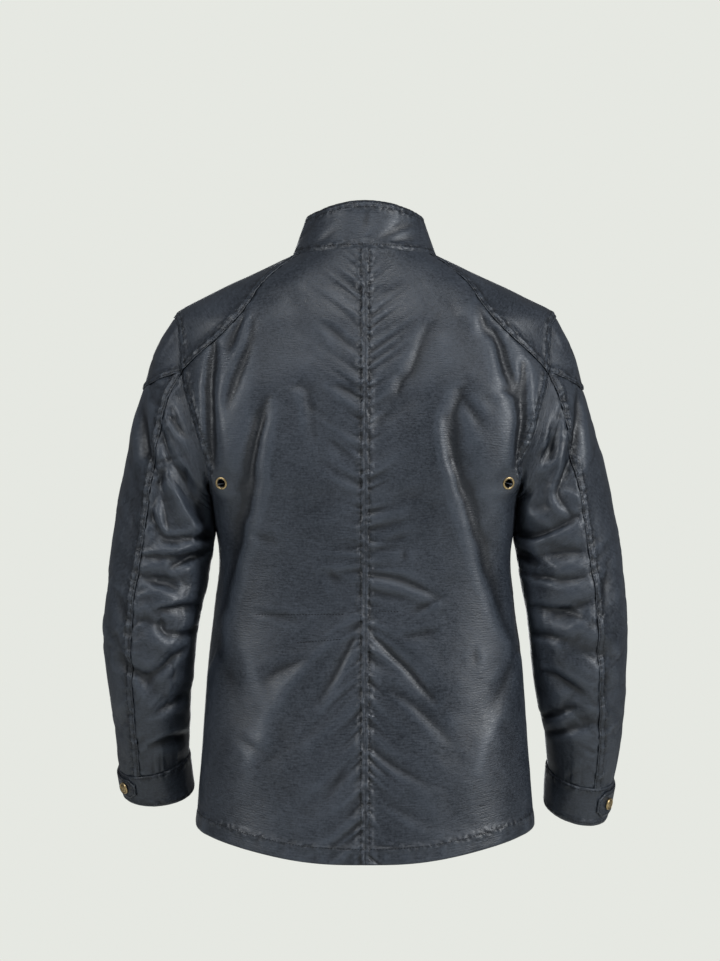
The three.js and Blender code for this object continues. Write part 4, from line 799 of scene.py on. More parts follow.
def panel_rows():
    """Rows of a back or front panel: up the side seam, the armhole and the shoulder piece's seam."""
    lines = [a + (b - a) * spread_lines(long, *seams, GRID_DOWN) for a, b, long, *seams in PANEL_PARTS]
    return np.concatenate([lines[0], lines[1][1:], lines[2][1:]])


def panel_side(row, behind):
    """The outer edge of a back or front panel at each row, as angle and height."""
    levels = np.interp(row, np.arange(SIDE_ROWS + 1), [-HEM_SIDE] + [-z for z in SIDE_LEVELS])
    climbed = np.clip(row - SIDE_ROWS, 0, ARMHOLE_ROWS)
    arm = armhole_place(ARMPIT - climbed if behind else ARMPIT + climbed)
    yoke = yoke_place(np.clip(row - SIDE_ROWS - ARMHOLE_ROWS, 0, YOKE_ROWS), behind)
    low, high = row <= SIDE_ROWS, row > SIDE_ROWS + ARMHOLE_ROWS
    return [np.where(low, side, np.where(high, yoke[n], arm[n])) for n, side in enumerate((0, levels))]


def middle_z(row, hem, below, armpit, yoke, neck):
    """Heights down the middle of a panel, matched to the rows of its outer edge."""
    table = [-hem]
    for level in SIDE_LEVELS:
        low = (level - LEVEL_WAIST) / (HEM_SIDE - LEVEL_WAIST)
        high = (LEVEL_WAIST - level) / (LEVEL_WAIST - SIDE_LEVELS[-1])
        table.append(-(level + (low * below if low > 0 else high * (armpit - SIDE_LEVELS[-1]))))
    table += [-(armpit + (yoke - armpit) * k / ARMHOLE_ROWS) for k in range(1, ARMHOLE_ROWS + 1)]
    table += [-(yoke + (neck - yoke) * k / YOKE_ROWS) for k in range(1, YOKE_ROWS + 1)]
    return np.interp(row, np.arange(PANEL_ROWS + 1), table)


def finish_body(side, deg, z, seams):
    """The outer surface of a body panel: creases, and the height that its seams add."""
    base = smooth_body(deg, z)
    return raised(side, base, body_normal(deg, z), body_relief(side, deg, z, base) + seams)


# The air eyelets' places on the left half, and the way that the cloth is pressed flat under them
EYELET_X, EYELET_DOWN, EYELET_LIFT = 172, 286, 1.5
EYELET_OUT = unit(np.array([0.42, 0.88, -0.22]))
EYELET_CENTRE = smooth_body(body_angle(EYELET_X, EYELET_DOWN, True), np.array(-EYELET_DOWN))
EYELET_CENTRE = EYELET_CENTRE + EYELET_LIFT * EYELET_OUT
EYELET_FLAT, EYELET_BLEND, EYELET_REACH, PUNCHED = 9, 17, 45, 6.0


def pressed_by_eyelet(surface, side):
    """The surface flat round an eyelet, its grid drawn back from the hole, and what was inside that."""
    turned = np.array([side, 1, 1])
    points = surface.points * turned
    off = points - EYELET_CENTRE
    out = (off * EYELET_OUT).sum(-1, keepdims=True)
    flat = off - out * EYELET_OUT
    radius = np.linalg.norm(flat, axis=-1, keepdims=True)
    near = np.linalg.norm(off, axis=-1, keepdims=True) < EYELET_REACH
    points = points - near * EYELET_OUT * out * (1 - smooth((radius - EYELET_FLAT) / EYELET_BLEND))
    inside = near & (radius < PUNCHED)
    points = points + inside * unit(flat) * (PUNCHED - radius)
    return surface._replace(points=points * turned), inside[..., 0]


def body_rows(surface, up, middle_away, middle_stitch):
    """Stitches of a panel beside its middle edge, along its hem and round its armhole."""
    lines = stitch_rows(surface, middle_away, [middle_stitch])
    lines += stitch_rows(surface, up, [HEM_STITCH], axis=1)
    away = from_seam(surface.base, SEAMS["armhole"])[0]
    return lines + stitch_rows(surface, away, ARMHOLE_STITCHES, end=True, keep=ARMHOLE_KEEP)


PANEL_WIDE = 205
rows = panel_rows()
ARMHOLE_KEEP = (rows >= SIDE_ROWS) & (rows <= SIDE_ROWS + ARMHOLE_ROWS)
us = spread_lines(PANEL_WIDE, True, True)
bottom_deg, top_deg = 90 * (1 - us), 90 + (YOKE_BACK_DEG - 90) * us
middle = middle_z(rows, hem=HEM_BACK, below=HEM_BACK - HEM_SIDE, armpit=304, yoke=150, neck=0)
deg, z = patch_places((np.full(len(rows), 90.0), middle), panel_side(rows, True),
                      (bottom_deg, hem_z(bottom_deg)), (top_deg, neck_z(top_deg)), us, rows / PANEL_ROWS)
base = smooth_body(deg, z)
for name, side in SIDES:
    seams = centre_seam(side, base, z) * smooth((base[..., 1] - 20) / 30) + hem_edge(deg, z)
    seams += body_seams(base, "yoke_back", 200 + side)
    surface, punched = pressed_by_eyelet(finish_body(side, deg, z, seams), side)
    lines = body_rows(surface, z - hem_z(deg), np.abs(base[..., 0]), CENTRE_STITCH)
    waist = [row_on_back(surface, side, path) for path in WAIST_ROWS[name]]
    new_sheet(f"back_{name}", surface, PANEL_WALL, lines, waist, punched)


# Front: two panels that meet at the zip, made and sewn as the back is, each with a row of stitches
# beside its folded front edge.
FRONT_EDGE, FRONT_STITCH = 6, 8


def front_edge(rows):
    z = middle_z(rows, hem=HEM_FRONT, below=0, armpit=320, yoke=190, neck=60)
    return body_angle(np.full(len(rows), FRONT_EDGE), -z, False), z


def front_places(rows, us):
    full = np.concatenate([[0], rows, [PANEL_ROWS]])
    ends = np.concatenate([[0], us, [1]])
    left = front_edge(full)
    bottom_deg = left[0][0] * (1 - ends)
    top_deg = left[0][-1] + (YOKE_FRONT_DEG - left[0][-1]) * ends
    deg, z = patch_places(left, panel_side(full, False), (bottom_deg, hem_z(bottom_deg)),
                          (top_deg, neck_z(top_deg)), ends, full / PANEL_ROWS)
    return deg[1:-1, 1:-1], z[1:-1, 1:-1]


deg, z = front_places(rows, us)
base = smooth_body(deg, z)
edge = base[..., 0] - FRONT_EDGE
for name, side in SIDES:
    seams = -0.7 * dent(edge, 1.2) - 0.45 * dent(edge - FRONT_STITCH, 1.1)
    seams += 0.6 * puckers(np.abs(edge - FRONT_STITCH), z, 14, 5, 305 + side) + hem_edge(deg, z)
    seams += body_seams(base, "yoke_front", 300 + side)
    surface = finish_body(side, deg, z, seams)
    lines = body_rows(surface, z - hem_z(deg), edge, FRONT_STITCH)
    new_sheet(f"front_{name}", surface, PANEL_WALL, lines)


# Shoulder pieces: one on each side from the back seam over the shoulder to the front seam. Each laps
# over the panels below it and is stitched twice.
YOKE_WIDE, YOKE_LONG = 196, 184
us, vs = spread_lines(YOKE_WIDE, True, True), spread_lines(YOKE_LONG, True, True)
steps = YOKE_ROW - us * 2 * YOKE_ROW
neck_deg = YOKE_BACK_DEG + (YOKE_FRONT_DEG - YOKE_BACK_DEG) * us
deg, z = patch_places(yoke_place(vs * YOKE_ROWS, True), yoke_place(vs * YOKE_ROWS, False),
                      armhole_place(steps), (neck_deg, neck_z(neck_deg)), us, vs)
base = smooth_body(deg, z)
arm, behind, ahead, neck = (
    from_seam(base, SEAMS[seam]) for seam in ("armhole", "yoke_back", "yoke_front", "neck")
)
for name, side in SIDES:
    seed = 400 + side
    seams = lapped(*arm, ARMHOLE_STITCHES, seed) + lapped(*behind, YOKE_STITCHES, seed + 1)
    seams += lapped(*ahead, YOKE_STITCHES, seed + 2) + under_lap(*neck, seed + 3)
    surface = finish_body(side, deg, z, seams)
    lines = stitch_rows(surface, behind[0], YOKE_STITCHES)
    lines += stitch_rows(surface, ahead[0], YOKE_STITCHES, end=True)
    lines += stitch_rows(surface, arm[0], ARMHOLE_STITCHES, axis=1)
    new_sheet(f"shoulder_{name}", surface, PANEL_WALL, lines)


# Sleeves: an outer and an inner piece each, with a patch on the head of the sleeve. The outer piece
# laps over the inner one along the back of the arm with two rows of stitches.
# Sections from armhole to cuff: outer and inner point seen from behind (X, Z), reach, Y and tip
SLEEVE = {
    "left": np.array([
        (233.5, -82.5, 189, -294, 68, 0, 0), (257, -123, 193, -305, 74, 2, 0),
        (272.5, -172, 193, -319, 75, 2, 0), (287, -221, 191.5, -336, 75, 3, 0),
        (295, -270, 190, -357, 73, 4, 0), (304, -319, 188.5, -383, 70, 6, 1),
        (311, -368, 192.5, -412, 68, 8, 3), (317.5, -412, 200, -440, 66, 9, 6),
        (320.5, -460, 206, -478, 64, 6, 10), (319, -505, 210.5, -515, 61, -3, 14),
        (314, -548, 214, -550, 58, -16, 17), (308.5, -592, 216.5, -584, 54, -32, 19),
        (304.5, -636, 217.5, -618, 50, -50, 20),
    ]),
    "right": np.array([
        (233.5, -82.5, 189, -294, 68, 0, 0), (254, -123, 193, -305, 74, 2, 0),
        (268, -172, 193, -319, 75, 2, 0), (282, -221, 191, -336, 75, 3, 0),
        (294, -270, 189, -357, 73, 4, 0), (304, -319, 187, -383, 70, 6, 1),
        (313, -368, 191, -413, 68, 8, 3), (319, -414, 197, -442, 66, 9, 6),
        (321, -463, 202, -481, 64, 6, 10), (321.5, -512, 207.5, -521, 61, -3, 14),
        (320.5, -560, 214, -558, 58, -16, 17), (316, -606, 221.5, -596, 54, -32, 19),
        (308.5, -650, 226, -633, 50, -50, 20),
    ]),
}
ARMHOLE_FADE, CAP_DEEP, CAP_CURVE, FRONT_SEAM = 0.3, 1 / 6, 2.2, 14
SLEEVE_LONG, STEP_WIDE = 540, 20
# The sleeve runs on for a little between the two layers of the cuff
TUCKED = 0.008
# How strong the folds, crumples and gathers are, and the hollow of the armpit
FOLDS, SLEEVE_CRUMPLE, SLEEVE_CRACKLE, GATHERS = 1.35, 0.95, 0.9, 1.1
ARMPIT_LIFT, ARMPIT_STEP = 9, 10.8
# Main folds by step round the armhole and share of the sleeve, then width, depth and lean
SLEEVE_FOLDS = {
    "left": [
        ([(1.5, 0.2), (5.5, 0.3)], 16, 5, 0), ([(4.2, 0.52), (8.5, 0.5)], 13, 6, 0),
        ([(4.6, 0.62), (9, 0.62)], 12, 5, 0), ([(3, 0.72), (7.5, 0.78)], 13, 5, 0),
        ([(16, 0.2), (18.5, 0.42)], 16, 4, 0), ([(15, 0.55), (19, 0.6)], 14, 5, 0),
        ([(0.4, 0.55), (-1.6, 0.72)], 16, 3, 0),
    ],
    "right": [
        ([(2, 0.16), (5.2, 0.3)], 15, 5, 0), ([(4.4, 0.46), (8.5, 0.43)], 13, 6, 0),
        ([(4.6, 0.58), (9, 0.6)], 12, 6, 0), ([(3, 0.7), (7.5, 0.66)], 13, 5, 0),
        ([(3.5, 0.85), (7.5, 0.82)], 12, 4, 0), ([(16, 0.22), (18.5, 0.4)], 16, 4, 0),
        ([(15, 0.52), (19, 0.58)], 14, 5, 0),
    ],
}
# Creases on the back of the sleeves by distance from the middle and depth below the collar seam
SLEEVE_CREASES = {
    "left": [
        ([(234, 192), (221, 214), (192, 240)], 5, 5, 0.6), ([(236, 204), (221, 226), (202, 235)], 5, 4, -0.4),
        ([(229, 182), (212, 204), (194, 228)], 5, -3, 0), ([(250, 215), (232, 262), (204, 290)], 7, 3.6, 0.6),
        ([(259, 321), (242, 352), (210, 352)], 6, 4, 0.5), ([(193, 369), (215, 380), (240, 391)], 6, 4, 0.5),
        ([(234, 287), (221, 320), (210, 355), (241, 370)], 8, -4.5, 0), ([(210, 352), (186, 352)], 8, 5.5, 0),
        ([(218, 270), (206, 312), (196, 345)], 7, 4, 0.6), ([(246, 300), (236, 350)], 8, 3.6, -0.6),
        ([(272, 376), (197, 373)], 6, 4, 0.6), ([(248, 438), (206, 434)], 6, 4.4, 0.7),
        ([(262, 405), (222, 412)], 7, 3, -0.5), ([(245, 452), (238, 469), (200, 462)], 6, 3.2, 0.4),
        ([(221, 486), (252, 517), (265, 528)], 7, 3.2, 0.5),
        ([(262, 607), (214, 593)], 6, 3.8, 0.5), ([(264, 185), (288, 377)], 11, 2, 0.5),
        ([(258, 569), (216, 545)], 7, 3.2, -0.5), ([(240, 260), (262, 330)], 8, 2.6, 0.5),
        ([(300, 420), (270, 470)], 8, 2.2, 0.4), ([(280, 545), (300, 590)], 8, 2.2, 0.4),
        ([(302, 470), (286, 540)], 7, 2.2, 0.5),
    ],
    "right": [
        ([(198, 200), (191, 238)], 6, 4.5, 0.4), ([(220, 172), (214, 196), (210, 224)], 5, 4.6, 0.5),
        ([(206, 172), (198, 200)], 5, -3, 0), ([(236, 200), (226, 248), (214, 262)], 5, 3.4, -0.5),
        ([(246, 262), (232, 300), (250, 322)], 6, 3.6, 0.5),
        ([(229, 188), (191, 251)], 7, -4, 0), ([(224, 206), (221, 245), (191, 248)], 6, 4, 0.5),
        ([(180, 335), (200, 352), (242, 335), (256, 328)], 7, 5, 0.7),
        ([(210, 296), (204, 318), (224, 342)], 8, -3.6, 0), ([(184, 370), (211, 386)], 8, 5, 0),
        ([(191, 397), (232, 403), (270, 397)], 7, 3.8, 0.6), ([(208, 434), (266, 449)], 7, 3.6, -0.6),
        ([(200, 469), (252, 476)], 7, 3, 0.5), ([(222, 514), (246, 528), (270, 545)], 7, 3.2, -0.5),
        ([(218, 572), (259, 558)], 7, 4, 0.6), ([(224, 593), (270, 583)], 6, 3, 0.5),
        ([(296, 380), (282, 440)], 8, 2.2, 0.5), ([(300, 500), (285, 560)], 8, 2.2, 0.4),
        ([(250, 230), (236, 300)], 8, 2.8, 0.6),
    ],
}


def ring_point(section, phi):
    out_x, out_z, in_x, in_z, deep, y, tip = (section[..., k] for k in range(7))
    middle = np.stack([(out_x + in_x) / 2, y, (out_z + in_z) / 2], -1)
    half = np.stack([(out_x - in_x) / 2, 0 * y, (out_z - in_z) / 2], -1)
    turn = np.radians(tip)
    back = np.stack([0 * y, deep * np.cos(turn), -deep * np.sin(turn)], -1)
    return middle + half * np.cos(phi)[..., None] + back * np.sin(phi)[..., None]


# Each step of the armhole seam has its own angle on the sleeve's first ring
HEAD = SLEEVE["left"][0]
head_out, head_in = HEAD[[0, 1]], HEAD[[2, 3]]
seam_points = smooth_body(armhole_ring[:, 0], armhole_ring[:, 1])
seam_points = seam_points - np.insert((head_out + head_in) / 2, 1, 0)
half_way = np.insert((head_out - head_in) / 2, 1, 0)
ring_turns = np.arctan2(seam_points[:, 1] / HEAD[4], seam_points @ half_way / (half_way @ half_way))
ring_turns = ring_turns % (2 * np.pi)
ring_turns[0] = 0
RING_STEPS = np.arange(-STEPS, 2 * STEPS + 1)
RING_PHI = np.concatenate([ring_turns - 2 * np.pi, ring_turns, ring_turns + 2 * np.pi, [4 * np.pi]])


def step_phi(step):
    return np.interp(step, RING_STEPS, RING_PHI)


def body_at(side, deg, z):
    point = smooth_body(deg, z)
    return point + body_normal(deg, z) * body_relief(side, deg, z, point)[..., None]


OFFSET_STEPS = np.linspace(0, STEPS, 12 * STEPS + 1)
SEAM_OFFSETS = {
    side: body_at(side, *armhole_place(OFFSET_STEPS)) - ring_point(HEAD, step_phi(OFFSET_STEPS))
    for _, side in SIDES
}


def smooth_sleeve(side, step, share):
    rows = SLEEVE["left" if side > 0 else "right"]
    point = ring_point(along(rows, share * (len(rows) - 1)), step_phi(step))
    turn = np.mod(step, STEPS)
    offset = np.stack([np.interp(turn, OFFSET_STEPS, SEAM_OFFSETS[side][:, k]) for k in range(3)], -1)
    return point + offset * (np.clip(1 - share / ARMHOLE_FADE, 0, 1) ** 2)[..., None]


def sleeve_normal(side, step, share):
    low = np.maximum(share, 0.01)
    around = smooth_sleeve(side, step + 0.2, low) - smooth_sleeve(side, step - 0.2, low)
    down = smooth_sleeve(side, step, np.minimum(low + 0.01, 1)) - smooth_sleeve(side, step, low - 0.01)
    return unit(np.cross(down, around))


def sleeve_relief(side, step, share, point, facing):
    """Height of folds, creases and crumples on a sleeve's smooth surface."""
    name, other = ("left", "right") if side > 0 else ("right", "left")
    worn = point * np.array([side, 1, 1])
    wobble = noise(worn, 22, 7)
    turn = np.mod(step, STEPS)
    scaled = [
        ([(a * STEP_WIDE, b * SLEEVE_LONG) for a, b in path], wide, deep, lean)
        for path, wide, deep, lean in SLEEVE_FOLDS[name]
    ]
    main = sum(
        creases(scaled, at * STEP_WIDE, share * SLEEVE_LONG, wobble) for at in (turn, turn - STEPS)
    )
    x, down = point[..., 0], -point[..., 2]
    behind = creases(SLEEVE_CREASES[name], x, down, wobble) * smooth((facing[..., 1] + 0.1) / 0.5)
    ahead = creases(SLEEVE_CREASES[other], x, down + 12, wobble) * smooth((0.1 - facing[..., 1]) / 0.5)
    ends = smooth(share / 0.1) * smooth((1 - share) / 0.05)
    calm = smooth((share - 0.04) / 0.1) * smooth((1 - share) / 0.06)
    around, run = turn * STEP_WIDE, share * SLEEVE_LONG
    lines = crackle(around, run, 24, 52, 17, 141 + side)
    lines = lines + 0.8 * crackle(around, run, -28, 46, 14, 151 + side)
    rough = ends * (crumple(worn + np.array([37, 0, 0]), SLEEVE_CRUMPLE) + SLEEVE_CRACKLE * lines)
    gathers = puckers((1 - share) * SLEEVE_LONG, around, 28, 7, 501 + side) * smooth((1 - share) / 0.01)
    high = smooth(share / 0.07) * (1 - smooth((share - 0.29) / 0.15))
    armpit = ARMPIT_LIFT * dent(turn - ARMPIT_STEP, 2.0) * high
    return FOLDS * calm * (main + behind + ahead) + rough + GATHERS * gathers + armpit


def cap_edge(step):
    """How far down the sleeve its cap reaches, as a share, at a step of the armhole."""
    whole = step_phi(np.where(step < 0, -YOKE_ROW, YOKE_ROW))
    turn = np.minimum(1, np.abs(step_phi(step)) / np.abs(whole))
    return CAP_DEEP * (1 - turn**CAP_CURVE)


def finish_sleeve(side, step, share, seams):
    """The outer surface of a sleeve piece, with the height that its seams add at each point."""
    step, share = np.broadcast_arrays(step, share)
    base, facing = smooth_sleeve(side, step, share), sleeve_normal(side, step, share)
    return raised(side, base, facing, sleeve_relief(side, step, share, base, facing) + seams(base))


SLEEVE_STITCHES, CAP_STITCHES = (2.4, 8.4), (2.2, 6.4)
# A cap's rows of stitches and the outer sleeve's leave out the ends of the grid, which meet a seam
WITHIN = slice(3, -3)
CAP_WIDE, CAP_LONG, UNDER_WIDE, INNER_WIDE, SLEEVE_CUT = 196, 88, 80, 215, 545
cap_steps = (YOKE_ROW - 2 * YOKE_ROW * spread_lines(CAP_WIDE, True, True))[:, None]
cap_vs = spread_lines(CAP_LONG, True, True)[None, :]
start = FRONT_SEAM - STEPS
outer_steps = np.concatenate([
    start - (start + YOKE_ROW) * spread_lines(UNDER_WIDE, True),
    (-YOKE_ROW + 2 * YOKE_ROW * spread_lines(CAP_WIDE, False, True))[1:],
])[:, None]
inner_steps = (YOKE_ROW + (FRONT_SEAM - YOKE_ROW) * spread_lines(INNER_WIDE, True, True))[:, None]
sleeve_vs = (1 + TUCKED) * spread_lines(SLEEVE_CUT, True, True, GRID_DOWN)[None, :]
whole_round = np.linspace(start, FRONT_SEAM, 200)
over_cap = np.linspace(-YOKE_ROW, YOKE_ROW, 60)
down_arm = np.linspace(0, 1, 90)
for name, side in SIDES:
    arm_seams = {
        "top": seam_of(smooth_sleeve(side, whole_round, 0 * whole_round)),
        "cap": seam_of(smooth_sleeve(side, over_cap, cap_edge(over_cap))),
        "back": seam_of(smooth_sleeve(side, YOKE_ROW + 0 * down_arm, down_arm)),
        "front": seam_of(smooth_sleeve(side, FRONT_SEAM + 0 * down_arm, down_arm)),
    }
    seed = 500 + side

    def under(points, seam, step):
        return under_lap(*from_seam(points, arm_seams[seam]), seed + step)

    def cap_seams(points):
        lap = lapped(*from_seam(points, arm_seams["cap"]), CAP_STITCHES, seed + 1)
        return lap + under(points, "top", 0)

    def outer_seams(points):
        away, at = from_seam(points, arm_seams["back"])
        height = lapped(away, at, SLEEVE_STITCHES, seed + 2)
        height += 0.9 * puckers(np.maximum(away - 9, 0), at, 17, 6.5, seed + 9, 0.4)
        return height + under(points, "cap", 3) + under(points, "top", 4) + under(points, "front", 5)

    def inner_seams(points):
        away, at = from_seam(points, arm_seams["back"])
        pulled = 1.3 * smooth(away / 7) * puckers(away, at, 24, 6.5, seed + 10, 0.5)
        return under(points, "back", 6) + pulled + under(points, "top", 7) + under(points, "front", 8)

    surface = finish_sleeve(side, cap_steps, cap_vs * cap_edge(cap_steps), cap_seams)
    away = from_seam(surface.base, arm_seams["cap"])[0]
    lines = stitch_rows(surface, away, CAP_STITCHES, axis=1, end=True, keep=WITHIN)
    new_sheet(f"sleeve_cap_{name}", surface, PANEL_WALL, lines)

    top = np.where(np.abs(outer_steps) <= YOKE_ROW, cap_edge(outer_steps), 0)
    shares = top + (1 + TUCKED - top) * sleeve_vs / (1 + TUCKED)
    surface = finish_sleeve(side, outer_steps, shares, outer_seams)
    away = from_seam(surface.base, arm_seams["back"])[0]
    lines = stitch_rows(surface, away, SLEEVE_STITCHES, end=True, keep=WITHIN)
    new_sheet(f"sleeve_outer_{name}", surface, PANEL_WALL, lines)

    surface = finish_sleeve(side, inner_steps, sleeve_vs, inner_seams)
    new_sheet(f"sleeve_inner_{name}", surface, PANEL_WALL)


# Collar: a stand of two layers with a stiffening between them, stitched twice under its top edge and
# once above the seam that joins it to the neck.
TOP_HALF, TOP_BACK, TOP_FRONT = 69, 61, 66
TOP_Z = {"back": 57, "side": 42, "front": -4}
COLLAR_END_SEAM, COLLAR_END_TOP, COLLAR_ROUND = 4.6, 11, 560
# The collar's lower edge covers the seam by this share of its height
COLLAR_LAP = -0.075
COLLAR_BASE_ROW, COLLAR_TOP_ROWS, COLLAR_PULL = 6.7, (3, 8.5), 0.42
COLLAR_WIDE, COLLAR_TALL, COLLAR_FLAT, COLLAR_WALL = 500, 60, (0.52, 0.066), 3.2
# By length round the collar and height: path, width, depth and lean
COLLAR_CREASES = [
    ([(300, 14), (345, 34)], 6, 1.6, 0.6), ([(320, 12), (372, 22)], 5, 1.3, 0.5),
    ([(330, 30), (380, 38)], 5, 1, 0.4), ([(150, 20), (190, 34)], 7, 1.3, 0.5),
    ([(286, 46), (280, 26)], 5, 1.2, 0.4), ([(210, 12), (236, 28)], 5, 1, 0.4),
]


def collar_top(deg):
    turn = np.radians(deg)
    back = TOP_Z["side"] + (TOP_Z["back"] - TOP_Z["side"]) * np.sin(turn) ** 2
    way = (1 - np.cos(np.pi * (np.clip(-deg, 0, 90) / 90) ** 1.3)) / 2
    ahead = TOP_Z["side"] + (TOP_Z["front"] - TOP_Z["side"]) * way
    reach = np.where(deg >= 0, TOP_BACK, TOP_FRONT)
    return np.stack([TOP_HALF * np.cos(turn), reach * np.sin(turn), np.where(deg >= 0, back, ahead)], -1)


def collar_point(whole, share):
    """A point of the collar by angle from one end round the back to the other, and share of its height."""
    deg = np.where(whole > 90, 180 - whole, whole)
    seam = smooth_body(deg, neck_z(deg))
    point = seam + (collar_top(deg) - seam) * share[..., None]
    point[..., 0] *= np.where(whole > 90, -1, 1)
    return point


us = spread_lines(COLLAR_WIDE, True, True)
vs = spread_lines(COLLAR_TALL, True, True, min(GRID_ACROSS, 3))
share = np.broadcast_to(COLLAR_LAP + (1 - COLLAR_LAP) * vs[None, :], (len(us), len(vs)))
end = COLLAR_END_SEAM + (COLLAR_END_TOP - COLLAR_END_SEAM) * share
whole = -90 + end + us[:, None] * (360 - 2 * end)
base = collar_point(whole, share)
rise = collar_point(whole, np.ones_like(share)) - collar_point(whole, np.zeros_like(share))
facing = unit(np.cross(collar_point(whole + 0.5, share) - collar_point(whole - 0.5, share), unit(rise)))
around = (whole + 90) / 360 * COLLAR_ROUND
tall = np.linalg.norm(rise, axis=-1)
below = (1 - share) * tall
up = (share - COLLAR_LAP) * tall
height = 0.9 * crumple(base, 0.8) + 0.7 - 0.7 * dent(up, 1.2) - 2.4 * dent(below, 2.0)
for away in (up - COLLAR_BASE_ROW, *(below - row for row in COLLAR_TOP_ROWS)):
    height = height - COLLAR_PULL * dent(away, 1.0)
height = height + 0.7 * puckers(np.maximum(below - 8, 0), around, 15, 4.6, 601, 0.2)
height = height + 0.5 * noise_along(around, 3.6, 603) * dent(below - 5.7, 3)
height = height + 0.5 * puckers(np.abs(up - COLLAR_BASE_ROW), around, 9, 4.2, 605, 0.3)
height = height + creases(COLLAR_CREASES, around, up, noise(base, 20, 9))
surface = raised(1, base, facing, height + 0.4 * crackle(around, up, 25, 40, 11, 611))
lines = stitch_rows(surface, up, [COLLAR_BASE_ROW], axis=1)
lines += stitch_rows(surface, below, COLLAR_TOP_ROWS, axis=1, end=True)
new_sheet("collar", surface, COLLAR_WALL, lines)


# Cuffs: a double band on each sleeve's end, stitched near both edges, with a strap that closes it.
# The strap is stitched round and held by a press stud.
# The cuff's hem as a sleeve section
CUFF_HEM = {
    "left": np.array((299.5, -669.5, 212.5, -664, 50, -62, 20.0)),
    "right": np.array((300.5, -697.5, 223, -681, 50, -62, 20.0)),
}
CUFF_PROUD, CUFF_START, CUFF_TALL, CUFF_ROUND, CUFF_ROWS = 1.2, 0.012, 46, 280, (3.6, 42)
TAB_LEVEL, TAB_TALL, TAB_LIFT, TAB_FROM, TAB_TO, TAB_CORNER = 0.47, 0.66, 3.9, -45, 60, 0.14
TAB_LONG, TAB_WIDE, TAB_ROW, TAB_GRID = 86, 30, 3.4, 2.5
CUFF_PULL = 0.42
CUFF_FLAT, CUFF_WALL, TAB_FLAT, TAB_WALL = (0.3, 0.052), 2.8, (0.09, 0.033), 2.2
STUD_DEG = {"left": 38, "right": 36}


def cuff_point(name, phi, share, proud=CUFF_PROUD):
    top, low = SLEEVE[name][-1], CUFF_HEM[name]
    section = top + (low - top) * share[..., None]
    out = ring_point(section, phi + 0.01) - ring_point(section, phi - 0.01)
    ends = np.array([0.0, np.pi])
    down = (ring_point(np.stack([low, low]), ends) - ring_point(np.stack([top, top]), ends)).mean(0)
    return ring_point(section, phi) + unit(np.cross(down, out)) * np.asarray(proud)[..., None]


def cuff_facing(name, phi, share):
    out = cuff_point(name, phi + 0.02, share) - cuff_point(name, phi - 0.02, share)
    down = cuff_point(name, phi, np.ones_like(share)) - cuff_point(name, phi, np.zeros_like(share))
    return unit(np.cross(down, out))


us, vs = spread_lines(CUFF_ROUND), spread_lines(CUFF_TALL, True, True)
phi = np.broadcast_to(2 * np.pi * us[:, None], (len(us), len(vs)))
share = np.broadcast_to((CUFF_START + (1 - CUFF_START) * vs)[None, :], phi.shape)
up = (1 - share) * CUFF_TALL
around = phi / (2 * np.pi) * CUFF_ROUND
for name, side in SIDES:
    base, facing = cuff_point(name, phi, share), cuff_facing(name, phi, share)
    height = 0.4 - 0.8 * dent(up, 1.2) - 0.8 * dent(CUFF_TALL - up, 1.6)
    for row in CUFF_ROWS:
        height = height - CUFF_PULL * dent(up - row, 1.0)
        height = height + 0.55 * puckers(np.abs(up - row), around, 9, 4, 703 + side + int(row), 0.2)
    height = height + 0.7 * crumple(base * np.array([side, 1, 1]), 0.8)
    height = height + 0.4 * crackle(around, up, 60, 40, 12, 711 + side)
    height[0] = height[-1] = (height[0] + height[-1]) / 2
    surface = raised(side, base, facing, height)
    lines = stitch_rows(surface, up, [CUFF_ROWS[0]], axis=1, end=True)
    lines += stitch_rows(surface, CUFF_TALL - up, [CUFF_TALL - CUFF_ROWS[1]], axis=1)
    new_sheet(f"cuff_{name}", surface, CUFF_WALL, lines)

us, vs = (spread_lines(long, True, True, TAB_GRID) for long in (TAB_LONG, TAB_WIDE))
phi = np.radians(TAB_FROM + (TAB_TO - TAB_FROM) * us)[:, None] + 0 * vs[None, :]
cut_back = (1 - 0.5 * smooth((us - 1 + TAB_CORNER) / TAB_CORNER))[:, None]
share = TAB_LEVEL + TAB_TALL * cut_back * (vs[None, :] - 0.5)
edges = [vs[None, :] * TAB_WIDE * cut_back, (1 - vs)[None, :] * TAB_WIDE * cut_back,
         (1 - us)[:, None] * TAB_LONG + 0 * share]
edge = np.minimum.reduce(edges)
inner_us = (1 - us) * TAB_LONG > TAB_ROW
inner_vs = np.abs(vs - 0.5) * TAB_WIDE < TAB_WIDE / 2 - TAB_ROW
for name, side in SIDES:
    base, facing = cuff_point(name, phi, share, np.full(phi.shape, TAB_LIFT)), cuff_facing(name, phi, share)
    height = 0.2 * crumple(base * np.array([side, 1, 1]), 0.7) - 0.7 * dent(edge, 1.0)
    surface = raised(side, base, facing, height - CUFF_PULL * dent(edge - TAB_ROW, 0.9))
    lines = stitch_rows(surface, edges[0], [TAB_ROW], axis=1, keep=inner_us)
    lines += stitch_rows(surface, edges[1], [TAB_ROW], axis=1, end=True, keep=inner_us)
    lines += stitch_rows(surface, edges[2], [TAB_ROW], end=True, keep=inner_vs)
    new_sheet(f"cuff_tab_{name}", surface, TAB_WALL, lines)


# Patch pockets and their flaps on the fronts, laid on the panel's own surface and stitched round.
POCKET_COLUMNS, FRONT_COLUMNS = (2, 7), 8
POCKET_ROW, POCKET_WIDE, ROW_TALL, POCKET_WALL = 4, 150, 26, 1.5
